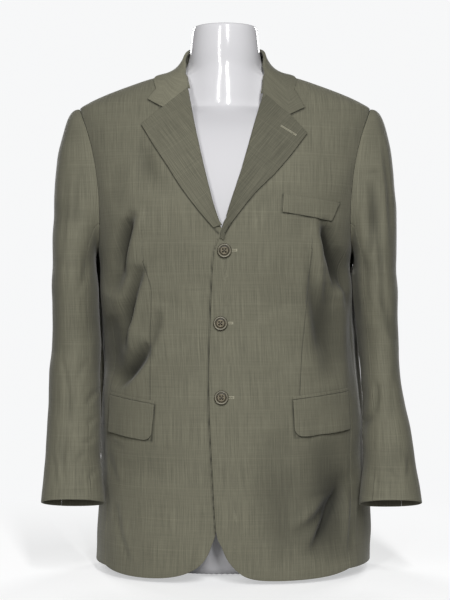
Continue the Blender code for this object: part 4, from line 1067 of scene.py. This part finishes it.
def panel(kind, side, plan, centre):
    """A body panel. Its inner side is lined, but for the turned-up hem and the front's facing."""
    grid = fine_grid(side, lambda down, across: plan(side, down, across), FINE_DOWN, FINE_ACROSS)
    angle, z = apart(grid)
    sunk = under_left_front(side, angle, z) if kind == "front" else 0.0
    points = drawn_in(cloth_points(side, angle, z, -sunk))
    lined = face_centres(grid)[..., 1] > SIDE_HEM_Z + HEM_TURN
    # painted shade, darker the deeper the cloth lies in its folds
    shades = {"hollow": painted_shade_of_folds(cloth_height(side, bare_surface(side, angle, z), angle))}
    if kind == "front":
        lined &= face_centres(lengths_along(points, 1)[..., None])[..., 0] > FACING
        shades["dart"] = dart_distance(side, points)
        # how far each point is from those edges, for the painted shadow beside them
        beside = line_distance(side, points, laid_edges(side))
        shades["edge"] = np.where(angle > 0, beside, PLAIN_SHADES["edge"])
    cloth_piece([f"{kind}_{NAMES[side]}"], points, normal_of(bare_surface, side, angle, z),
                body_grain(side, grid, centre), "draped", ["torso_form"], lined, **shades)


def build_body():
    for side in NAMES:
        panel("front", side, front_plan, 90)
    for side in NAMES:
        panel("side", side, side_plan, 90)
        panel("back", side, back_plan, -90)


# ---- sleeves ------------------------------------------------------------------------------------
def armhole_frame(side, turn):
    """On the armhole seam: the point, and the direction that the sleeve leaves it in."""
    point, ahead, behind = (folded_surface(side, *apart(armhole_seam(turn + step)))
                            for step in (0, TURN_STEP, -TURN_STEP))
    normal = normal_of(bare_surface, side, *apart(armhole_seam(turn)))
    into_hole = unit(side * np.cross(normal, ahead - behind))
    round_hole = np.mod(turn, ARMHOLE_LOOP) * 360 / ARMHOLE_LOOP
    lean = np.radians(smooth(CAP_LEAN, "degrees", round_hole))[..., None]
    return point, np.cos(lean) * into_hole + np.sin(lean) * normal


def arm_ring(side, turn, z):
    """A point of the sleeve's lower part, round an oval section."""
    sleeve = SLEEVE[side]
    width, depth, x, middle_y = read(sleeve, "width depth x y", z)
    across, y = oval(turn * 360 / ARMHOLE_LOOP, width, depth, depth, SLEEVE_SQUARE)
    drop = CUFF_SLOPE * y * (sleeve["z"][0] - z) / (sleeve["z"][0] - sleeve["z"][-1])
    return np.stack([side * (x + across), y + middle_y, z - drop], -1)


def sleeve_points(side, turn, row):
    """The sleeve's surface: rows 0 to 1 are the cap, and rows 1 to 2 the arm down to the cuff."""
    arm_z, cuff_z = SLEEVE[side]["z"][0], SLEEVE[side]["z"][-1]
    start, leave = armhole_frame(side, turn)
    end = arm_ring(side, turn, np.full_like(turn, arm_z))
    reach = CAP_FULLNESS * np.linalg.norm(end - start, axis=-1, keepdims=True)
    cap = curve(np.clip(row, 0, 1)[..., None], start, reach * leave, end, reach * np.array([0, 0, -1.0]))
    arm = arm_ring(side, turn, arm_z + (cuff_z - arm_z) * np.clip(row - 1, 0, 1))
    return np.where(row[..., None] <= 1, cap, arm)


def sleeve_normals(side, turn, row):
    """The sleeve's unit normals, pointing out, read on the side of each row that is away from the ends."""
    around = sleeve_points(side, turn + TURN_STEP, row) - sleeve_points(side, turn - TURN_STEP, row)
    low, high = np.clip(row - ROW_STEP, 0, 2), np.clip(row + ROW_STEP, 0, 2)
    return unit(side * np.cross(around, sleeve_points(side, turn, high) - sleeve_points(side, turn, low)))


def sleeve_grain(side, points, under_arm):
    """Where the points lie on flat cloth: how far round the arm from its outer line, and how far up."""
    z = points[..., 2]
    x, y, width, depth = read(SLEEVE[side], "x y width depth", z)
    turn = np.arctan2((y - points[..., 1]) / depth, (side * points[..., 0] - x) / width)
    turn = np.mod(turn, math.tau) if under_arm else turn
    at = np.linspace(-math.pi, math.tau, GRAIN_TURNS + 1)
    ring = np.stack([ARM_HALF[0] * np.cos(at), ARM_HALF[1] * np.sin(at)], -1)
    return np.stack([side * np.interp(turn, at, lengths_along(ring)), z], -1)


def sleeve_half(side, half):
    """The top sleeve runs from the front seam over the shoulder, the under sleeve below the arm."""
    over_shoulder = ARMHOLE_LOOP if half == "top" else 0
    rows = np.concatenate([np.linspace(0, 1, CAP_ROWS * SLEEVE_DOWN + 1),
                           np.linspace(1, 2, ARM_ROWS * SLEEVE_DOWN + 1)[1:]])[:, None]
    drift = BACK_SEAM_DRIFT * np.clip(rows - DRIFT_START, 0, 2 - DRIFT_START) / (2 - DRIFT_START)
    last = SLEEVE_BACK_TURN + drift - over_shoulder
    columns = abs(SLEEVE_BACK_TURN - over_shoulder - SLEEVE_FRONT_TURN) * SLEEVE_ACROSS
    turn = SLEEVE_FRONT_TURN + (last - SLEEVE_FRONT_TURN) * np.linspace(0, 1, columns + 1)
    rows = np.broadcast_to(rows, turn.shape)
    points = sleeve_points(side, turn, rows)
    normal = sleeve_normals(side, turn, rows)
    height = crease_height(SLEEVE_CREASES, side, points, turn * 360 / ARMHOLE_LOOP) + swell_height(points)
    height *= np.clip(rows / CAP_SEWN, 0, 1)
    points = drawn_in(points + height[..., None] * normal)
    up = lengths_along(points)
    lined = face_centres((up[-1:] - up)[..., None])[..., 0] > CUFF_TURN
    # painted shade on the sleeve, darker the deeper its creases
    cloth_piece([f"{half}_sleeve_{NAMES[side]}"], points, normal, sleeve_grain(side, points, half == "under"),
                "hung", [f"front_{NAMES[side]}_cloth"], lined, hollow=painted_shade_of_folds(SLEEVE_FOLD_SHADE * height))


# ---- lapels and collar -----------------------------------------------------------------------
def between(table, low, high):
    """A table's (x, z) points between two heights, with its own smooth line's ends at both."""
    z = np.array([low, *(z for z in table["z"] if low < z < high), high], float)
    return np.stack([smooth(table, "x", z), z], -1)


def notched_end(side, last, rows, finer):
    """The line from the roll down the gorge to the notch, then out to a tip, on the front."""
    notch = NOTCH[side]
    gorge_rows = round(rows * NOTCH_SHARE) * finer
    gorge = even_front(side, [notch["gorge"], notch["notch"]], gorge_rows)
    tip = even_front(side, [notch["notch"], notch[last]], rows * finer - gorge_rows)
    return np.concatenate([gorge, tip[1:]])


def rolled_over(points, outward, radius, steps):
    """Rows of points from a grid's first column, rolled over and under in a half circle."""
    away = points[:, 0] - points[:, 1]
    away = unit(away - (away * outward[:, 0]).sum(-1, keepdims=True) * outward[:, 0])
    turn = np.linspace(math.pi, 0, steps + 1)[:-1, None]
    bow = np.sin(turn) * away[:, None] - (1 - np.cos(turn)) * outward[:, :1]
    return points[:, :1] + bow * radius[:, None, None]


def build_lapel(side):
    def plan(down, across):
        top = notched_end(side, "tip", LAPEL_COLUMNS, across)
        gorge_z, tip_z = NOTCH[side]["gorge"][1], NOTCH[side]["tip"][1]
        roll_points = between(ROLL[side], BREAK_Z[side], gorge_z)
        edge_points = between(LAPEL[side], BREAK_Z[side] - BREAK_DROP, tip_z)
        inner, outer = (even_front(side, line, LAPEL_ROWS * down) for line in (roll_points, edge_points))
        inner[-1], outer[-1] = top[0], top[-1]
        return patch(np.linspace(inner[0], outer[0], LAPEL_COLUMNS * across + 1), top, inner, outer)

    grid = fine_grid(side, plan, LAPEL_DOWN, LAPEL_ACROSS)
    angle, z = apart(grid)
    across = np.linspace(1, 0, grid.shape[1])[None] ** 2
    up = np.linspace(0, 1, len(grid))[:, None]
    swell = SOFT_ROLL * np.sin(up * math.pi) ** SOFT_ROLL_SHAPE[0] * (1 - SOFT_ROLL_SHAPE[1] * up)
    lift = LYING + CLOTH + (LAPEL_SPRING + swell) * across - under_left_front(side, angle, z)
    outward = normal_of(bare_surface, side, angle, z)
    points = drawn_in(cloth_points(side, angle, z, lift))
    room = np.linalg.norm(points[:, ROLL_COLUMNS] - points[:, 0], axis=-1)
    tapered = ROLL_RADIUS * np.clip(np.linspace(*ROLL_TAPER, len(grid)), 0, 1)
    radius = np.minimum(tapered, ROLL_ROOM * room)
    points[:, 0] += radius[:, None] * unit(points[:, 1] - points[:, 0])
    share = np.arange(1, ROLL_COLUMNS)[:, None] / ROLL_COLUMNS
    points[:, 1:ROLL_COLUMNS] = points[:, :1] * (1 - share) + points[:, ROLL_COLUMNS:ROLL_COLUMNS + 1] * share
    rolled = rolled_over(points, outward, radius, ROLL_STEPS)
    outward = np.concatenate([np.repeat(outward[:, :1], ROLL_STEPS, 1), outward], 1)
    points = np.concatenate([rolled, points], 1)
    along = unit(points[-1, -1] - points[0, -1])
    level = np.cross(outward.mean((0, 1)), along)
    grain = np.stack([(points - points[0, -1]) @ level, (points - points[0, -1]) @ along], -1)
    # the lapel is painted darker, as painted shade
    cloth_piece([f"lapel_{NAMES[side]}"], points, outward, grain, "folded", [f"front_{NAMES[side]}_cloth"],
                tone=LAPEL_PAINTED_SHADE[side])


def collar_line(side, front_points, rest, finer):
    """A line of the collar: (x, z) points on the front, then (angle, z) points to the centre back."""
    return even_line(side, np.concatenate([front_line(side, front_points), rest]), COLLAR_STEPS * finer)


def towards_neck(points):
    """Level unit vectors from the points to the neck's axis."""
    return unit((np.array([0, NECK_AXIS_Y, 0]) - points) * (1, 1, 0))


def collar_side(side):
    """Half of the collar, as grids from the front end to the back: its leaf, and its stand's foot."""
    notch = NOTCH[side]

    def plan(down, across):
        inner = collar_line(side, between(ROLL[side], notch["gorge"][1], NECKLINE_FRONT_Z), NECKLINE, down)
        edge = collar_line(side, [notch["collar_tip"], LEAF_CORNER], LEAF_EDGE, down)
        front_end = notched_end(side, "collar_tip", COLLAR_ROWS, across)
        inner[0], edge[0] = front_end[0], front_end[-1]
        back = np.linspace(inner[-1], edge[-1], COLLAR_ROWS * across + 1)
        return patch(front_end, back, inner, edge)

    grid = fine_grid(side, plan, COLLAR_DOWN, COLLAR_ACROSS)
    foot = cloth_points(side, *apart(grid[:, 0]), LYING)
    share = np.linspace(0, 1, len(foot))
    inwards, up, lift = (column[:, None] for column in read(STAND, "in up lift", share))
    to_fold = towards_neck(foot) * inwards + np.array([0, 0, 1.0]) * up
    lying = cloth_points(side, *apart(grid), CLOTH + lift)
    fall = np.linspace(0, 1, grid.shape[1])[None, :, None]
    decay = np.concatenate([1 - fall ** 2, 1 - fall ** 2, (1 - fall) ** LEAF_FALL], -1)
    return lying + to_fold[:, None] * decay, foot


def build_collar():
    """One strip of cloth: up the stand round the neck, over the fold, and down the leaf."""
    left, right = collar_side(1), collar_side(-1)
    leaf, foot = (np.concatenate([one, other[-2::-1]]) for one, other in zip(left, right))
    normal = unit(np.cross(np.gradient(leaf, axis=1), np.gradient(leaf, axis=0)))
    normal *= np.sign(normal[len(left[0]), -1, 1])
    inwards = towards_neck(foot)
    top = leaf[:, 0] - (CLOTH + SEAM) * normal[:, 0] + (STAND_TOP_INSET + CLOTH) * inwards
    foot = foot + (STAND_INSET + CLOTH) * inwards
    rising, falling = unit(top - foot), unit(leaf[:, 1] - leaf[:, 0])
    height = np.linalg.norm(top - foot, axis=-1, keepdims=True)
    drop = np.minimum(COLLAR_FOLD, FOLD_SHARE * height)
    low, high = top - rising * drop, leaf[:, 0] + falling * drop * FOLD_OVER
    pull = FOLD_PULL * drop
    ends = (end[:, None] for end in (low, pull * rising, high, pull * falling))
    fold = curve(np.linspace(0, 1, FOLD_STEPS + 1)[None, :, None], *ends)
    rise = np.linspace(0, 1, STAND_FINE + 1)[None, :-1, None]
    stand = foot[:, None] * (1 - rise) + low[:, None] * rise
    points = drawn_in(np.concatenate([stand, fold, leaf[:, 2:]], 1))
    outward = np.concatenate([np.repeat(normal[:, :1], points.shape[1] - leaf.shape[1], 1), normal], 1)
    across = lengths_along(points, 1)
    grain = np.stack([lengths_along(points), across[:, -1:] - across], -1)
    # painted light and shade: the collar's half on the wearer's right is lighter and the left half darker
    across_neck = np.clip(points[..., 0] / COLLAR_MIDDLE, -1, 1) / 2 + 0.5
    tone = COLLAR_PAINTED_SHADING[-1] + (COLLAR_PAINTED_SHADING[1] - COLLAR_PAINTED_SHADING[-1]) * across_neck
    cloth_piece(["collar", "collar_stand"], points, outward, grain, "folded",
                ["back_left_cloth", "back_right_cloth"], wall=COLLAR_WALL, tone=tone)


# ---- pockets -------------------------------------------------------------------------------------
def rounded_corner(corner, along, up, radius):
    """Half of the arc that rounds a corner, from its middle to where it meets the edge `along`."""
    turn = np.radians(CORNER_TURNS)[:, None]
    return corner + radius * (along + up) - radius * (along * np.cos(turn) + up * np.sin(turn))


def laid_piece(name, side, grid, lift, wall=CLOTH):
    """A piece of cloth that lies on a front, as high over it as the lift."""
    angle, z = apart(grid)
    cloth_piece([name], drawn_in(cloth_points(side, angle, z, lift)), normal_of(bare_surface, side, angle, z),
                body_grain(side, grid, 90), "laid", [f"front_{NAMES[side]}_cloth"], wall=wall)


def build_flap(side):
    """A pocket flap with a rounded lower front corner, and the jet it hangs from."""
    top_front, top_side, bottom_side, bottom_front = as_points(FLAP[side])
    along, up = unit(bottom_side - bottom_front), unit(top_front - bottom_front)
    arc_along = rounded_corner(bottom_front, along, up, FLAP_CORNER)
    arc_up = rounded_corner(bottom_front, up, along, FLAP_CORNER)
    columns, rows = FLAP_COLUMNS * FLAP_FINE, FLAP_ROWS * FLAP_FINE
    bottom = even_front(side, [*arc_along, bottom_side], columns)
    top = even_front(side, [top_front, top_side], columns)
    inner = even_front(side, [*arc_up, top_front], rows)
    outer = even_front(side, [bottom_side, top_side], rows)
    grid = patch(bottom, top, inner, outer)
    hang = np.linspace(1, 0, rows + 1)[:, None]
    wave = np.sin(np.linspace(0, 1, columns + 1)[None] * CURL_WAVE + side) ** 2
    laid_piece("flap_" + NAMES[side], side, grid, LYING + CLOTH + FLAP_CURL * hang ** 2 * (CURL_LEAST + wave))
    jet = np.stack([top + [0, JET_HEIGHT * share] for share in np.linspace(0, 1, JET_ROWS + 1)])
    laid_piece("jet_" + NAMES[side], side, jet, LYING + JET_WALL, JET_WALL)
    return grid


def build_welt():
    top_front, top_side, bottom_side, bottom_front = as_points(WELT)
    columns, rows = FLAP_COLUMNS * FLAP_FINE, WELT_ROWS * FLAP_FINE
    bottom = even_front(1, [bottom_front, bottom_side], columns)
    top = even_front(1, [top_front, top_side], columns)
    inner, outer = (np.linspace(bottom[i], top[i], rows + 1) for i in (0, -1))
    laid_piece("breast_welt", 1, patch(bottom, top, inner, outer), LYING + CLOTH)


# ---- sewing ----------------------------------------------------------------------------------------
def drawn_mesh(*objects):
    """The first object's mesh as its modifiers leave it. The objects themselves go."""
    mesh = bpy.data.meshes.new_from_object(objects[0].evaluated_get(bpy.context.evaluated_depsgraph_get()))
    for obj in objects:
        bpy.data.objects.remove(obj)
    mesh.materials.clear()
    return mesh


def joined_tubes(name, lines, radius, finish):
    """Threads: one mesh of round tubes through lines of points, in millimetres."""
    path = bpy.data.curves.new(name, "CURVE")
    path.dimensions = "3D"
    path.bevel_depth = radius * MM
    path.bevel_resolution = 1
    path.use_fill_caps = True
    for line in lines:
        spline = path.splines.new("POLY")
        spline.points.add(len(line) - 1)
        for point, place in zip(spline.points, metres(np.asarray(line))):
            point.co = (*place, 1)
    mesh = drawn_mesh(linked(name + "_line", path))
    mesh.name = name
    mesh.shade_smooth()
    mesh.materials.append(finish)
    piece = linked(name, mesh)
    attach(piece, "root")


def flap_stitches(side, grid):
    """Short pick stitches in a row inside a flap's front and lower edges."""
    path = np.concatenate([grid[:PICK_ROW:-1, PICK_COLUMN], grid[PICK_ROW, PICK_COLUMN + 1:]])
    line = even_line(side, path, PICK_COUNT * PICK_PITCH)
    return [cloth_points(side, *apart(line[first:first + 2]), LYING + CLOTH + PICK_LIFT)
            for first in range(0, len(line) - 2, PICK_PITCH)]


def buttonhole(start, end, lift, width):
    """A worked buttonhole: close-set stitches over its two lips, and a bar at its end."""
    start, end = np.array(start, float), np.array(end, float)
    along = unit(end - start)
    across = np.array([-along[1], along[0]])
    count = int(np.linalg.norm(end - start) / HOLE_STITCH)
    flat = []
    for i in range(count + 1):
        middle = start + (end - start) * i / count
        for lip in (1, -1):
            flat.append((middle + across * lip * width * HOLE_GAP, middle + across * lip * width / 2))
    for i in range(BAR_STITCHES):
        at = end + along * BAR_STITCH * (i + 0.5)
        flat.append((at - across * width / 2, at + across * width / 2))
    return [cloth_points(1, *apart(on_front(1, ends)), lift) for ends in flat]


def build_sewing(flaps):
    picks = [line for side, grid in flaps.items() for line in flap_stitches(side, grid)]
    joined_tubes("flap_stitches", picks, PICK_RADIUS, SEAM_THREAD)
    holes = [line for x, z in as_points(BUTTONS) for line in
             buttonhole((x - HOLE_START, z), (x + HOLE_REACH, z + HOLE_TILT), HOLE_LIFT, HOLE_WIDTH)]
    joined_tubes("buttonholes", holes, HOLE_THREAD_RADIUS, HOLE_THREAD)
    lapel = buttonhole(*LAPEL_HOLE, LYING + CLOTH + LAPEL_HOLE_LIFT, LAPEL_HOLE_WIDTH)
    joined_tubes("lapel_buttonhole", lapel, LAPEL_THREAD_RADIUS, LAPEL_THREAD)


# ---- buttons -------------------------------------------------------------------------------------
def button_mesh():
    """A button turned from its profile and drilled: a rim, a groove painted dark as shade, and a flat middle.
    The walls of its holes and its outer side get the same painted shade.
    """
    blank = bmesh.new()
    verts = [blank.verts.new((r * MM, 0, z * MM)) for r, z in BUTTON_PROFILE]
    edges = [blank.edges.new(pair) for pair in zip(verts, verts[1:])]
    bmesh.ops.spin(blank, geom=verts + edges, cent=(0, 0, 0), axis=(0, 0, 1), steps=BUTTON_TURNS,
                   angle=math.tau, use_merge=True)
    bmesh.ops.remove_doubles(blank, verts=blank.verts, dist=1e-6)
    bmesh.ops.recalc_face_normals(blank, faces=blank.faces)
    blank = mesh_object("button_blank", blank)
    drill = bmesh.new()
    for x, y in HOLE_CORNERS:
        hole = bmesh.ops.create_cone(drill, cap_ends=True, segments=HOLE_SIDES, radius1=HOLE_RADIUS * MM,
                                     radius2=HOLE_RADIUS * MM, depth=DRILL_DEPTH * MM)
        bmesh.ops.translate(drill, verts=hole["verts"], vec=Vector((x, y, 0)) * HOLE_OFFSET * MM)
    drills = mesh_object("drills", drill)
    blank.modifiers.new("holes", "BOOLEAN").object = drills
    mesh = drawn_mesh(blank, drills)
    for finish in (HORN, BUTTON_PAINTED_SHADE, MIDDLE):
        mesh.materials.append(finish)
    # painted shade on the hole walls, in the groove and round the side
    for face in mesh.polygons:
        reach = Vector(face.center[:2]).length / MM
        wall_of_hole = abs(face.normal.z) < UPRIGHT and reach < GROOVE_REACH[0]
        if wall_of_hole or GROOVE_REACH[0] < reach < GROOVE_REACH[1] or reach > SIDE_REACH:
            face.material_index = 1
        elif reach < GROOVE_REACH[0]:
            face.material_index = 2
    return mesh


def build_buttons():
    blank = button_mesh()
    threads = []
    for number, (x, z) in enumerate(as_points(BUTTONS), start=1):
        angle, height = np.array(float(angle_at(1, x, z))), np.array(z)
        place = Vector(metres(cloth_points(1, angle, height, BUTTON_SHANK)))
        outward = Vector(normal_of(folded_surface, 1, angle, height))
        turned = outward.to_track_quat("Z", "Y").to_matrix()
        seat = turned.to_4x4()
        seat.translation = place
        mesh = blank.copy()
        mesh.name = f"button_{number}_horn"
        mesh.transform(seat)
        mesh.shade_smooth()
        mesh.set_sharp_from_angle(angle=math.radians(BUTTON_SHARP))
        button = linked(mesh.name, mesh)
        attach(button, "root")
        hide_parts(f"button_{number}")
        threads += button_threads(turned, place)
    joined_tubes("button_threads", threads, HOLE_THREAD_RADIUS, BUTTON_THREAD)


def button_threads(turned, place):
    """Crossed strands through a button's four holes, and the shank below them."""
    lines = []
    for first in (0, 1):
        (x0, y0), (x1, y1) = (np.array(HOLE_CORNERS[i]) * HOLE_OFFSET for i in (first, first + 2))
        for shift in STRAND_SHIFTS:
            path = [(x0 + shift, y0, -BUTTON_SHANK), (x0 + shift, y0, STRAND_TOP - STRAND_BEND),
                    (x0 * STRAND_IN + shift, y0 * STRAND_IN, STRAND_TOP),
                    (x1 * STRAND_IN + shift, y1 * STRAND_IN, STRAND_TOP + STRAND_OVER),
                    (x1 + shift, y1, STRAND_TOP - STRAND_BEND), (x1 + shift, y1, -BUTTON_SHANK)]
            lines.append([np.array(turned @ Vector(p) + place / MM) + [0, 0, GROUND_Z] for p in path])
    return lines


# ---- the torso form ------------------------------------------------------------------------------
def form_rings():
    """The form's sections, from its flat foot to the flat top of its neck."""
    angle = np.arange(FORM_ROUND) * 360 / FORM_ROUND
    rings = []
    for z in FORM_LEVELS:
        whole, ease = read(GARMENT, "width front back", z), read(FORM_EASE, "side front back", z)
        half_width, front, back = np.subtract(whole, ease)
        square, lean, side_y = read(GARMENT, "square lean side_y", z)
        chest = oval(angle, half_width, front, back, smooth(FORM_EASE, "front_square", z))
        shoulders = oval(angle, half_width, front, back, square)
        x, y = (np.where(angle < 180, *pair) for pair in zip(chest, shoulders))
        if z >= NECK_FOOT_Z:
            neck = front * np.sqrt(np.clip(1 - (x / NECK["width"][0]) ** 2, 0, 1))
            both = neck ** SHOULDER_BLEND + (y * SHOULDER_FRONT) ** SHOULDER_BLEND
            both /= 1 + SHOULDER_FRONT ** SHOULDER_BLEND
            y = np.where(angle < 180, -both ** (1 / SHOULDER_BLEND), y)
        rings.append(np.stack([x + FORM_LEAN * lean, y + side_y, np.full(FORM_ROUND, float(z))], -1))
    for z in NECK["z"]:
        width, depth, side_y = read(NECK, "width depth side_y", z)
        x, y = oval(angle, width, depth, depth, 2)
        rings.append(np.stack([x, y + side_y, np.full(FORM_ROUND, float(z))], -1))
    return rings


def build_form():
    shell = bmesh.new()
    ring = bmesh.ops.create_circle(shell, segments=FORM_ROUND, radius=1)["verts"]
    edges = shell.edges[:]
    for number, points in enumerate(form_rings()):
        if number:
            grown = bmesh.ops.extrude_edge_only(shell, edges=edges)["geom"]
            ring = [item for item in grown if isinstance(item, bmesh.types.BMVert)]
            edges = [item for item in grown if isinstance(item, bmesh.types.BMEdge)]
        for vert, place in zip(ring, metres(points)):
            vert.co = place
    bmesh.ops.holes_fill(shell, edges=shell.edges)
    bmesh.ops.recalc_face_normals(shell, faces=shell.faces)
    form = mesh_object("torso_form_shell", shell)
    form.data.shade_smooth()
    form.data.materials.append(FORM)
    finer = form.modifiers.new("smooth", "SUBSURF")
    finer.levels = 1
    finer.render_levels = 1
    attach(form, "root")
    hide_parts("torso_form")


# ---- floor, light and camera -----------------------------------------------------------------
def build_stage():
    floor = bmesh.new()
    bmesh.ops.create_grid(floor, x_segments=1, y_segments=1, size=FLOOR_SIZE)
    floor = mesh_object("floor", floor)
    floor.data.materials.append(FLOOR)

    world = bpy.data.worlds.new("studio")
    world.use_nodes = True
    bpy.context.scene.world = world
    tree = world.node_tree
    background = tree.nodes["Background"]
    background.inputs["Color"].default_value = (*WORLD_COLOUR, 1)
    strength = tree.nodes.new("ShaderNodeMapRange")
    strength.inputs["To Min"].default_value = WORLD_SHARE
    seen = tree.nodes.new("ShaderNodeLightPath")
    tree.links.new(seen.outputs["Is Camera Ray"], strength.inputs["Value"])
    tree.links.new(strength.outputs["Result"], background.inputs["Strength"])
    bpy.context.scene.view_settings.view_transform = "Standard"

    for name, place, target, size, power in LIGHTS:
        lamp = bpy.data.lights.new(name, "AREA")
        lamp.shape = "RECTANGLE"
        lamp.size, lamp.size_y = size
        lamp.energy = power
        light = linked(name, lamp)
        light.location = place
        light.rotation_euler = (Vector(target) - Vector(place)).to_track_quat("-Z", "Y").to_euler()

    view = bpy.data.cameras.new("camera")
    view.lens = CAMERA_LENS
    camera = linked("camera", view)
    camera.location = CAMERA_PLACE
    camera.rotation_euler = (math.pi / 2, 0, 0)
    bpy.context.scene.camera = camera


def main():
    build_stage()
    build_body()
    for side in NAMES:
        for half in ("top", "under"):
            sleeve_half(side, half)
    for side in NAMES:
        build_lapel(side)
    build_collar()
    flaps = {side: build_flap(side) for side in NAMES}
    build_welt()
    build_sewing(flaps)
    build_buttons()
    build_form()


main()
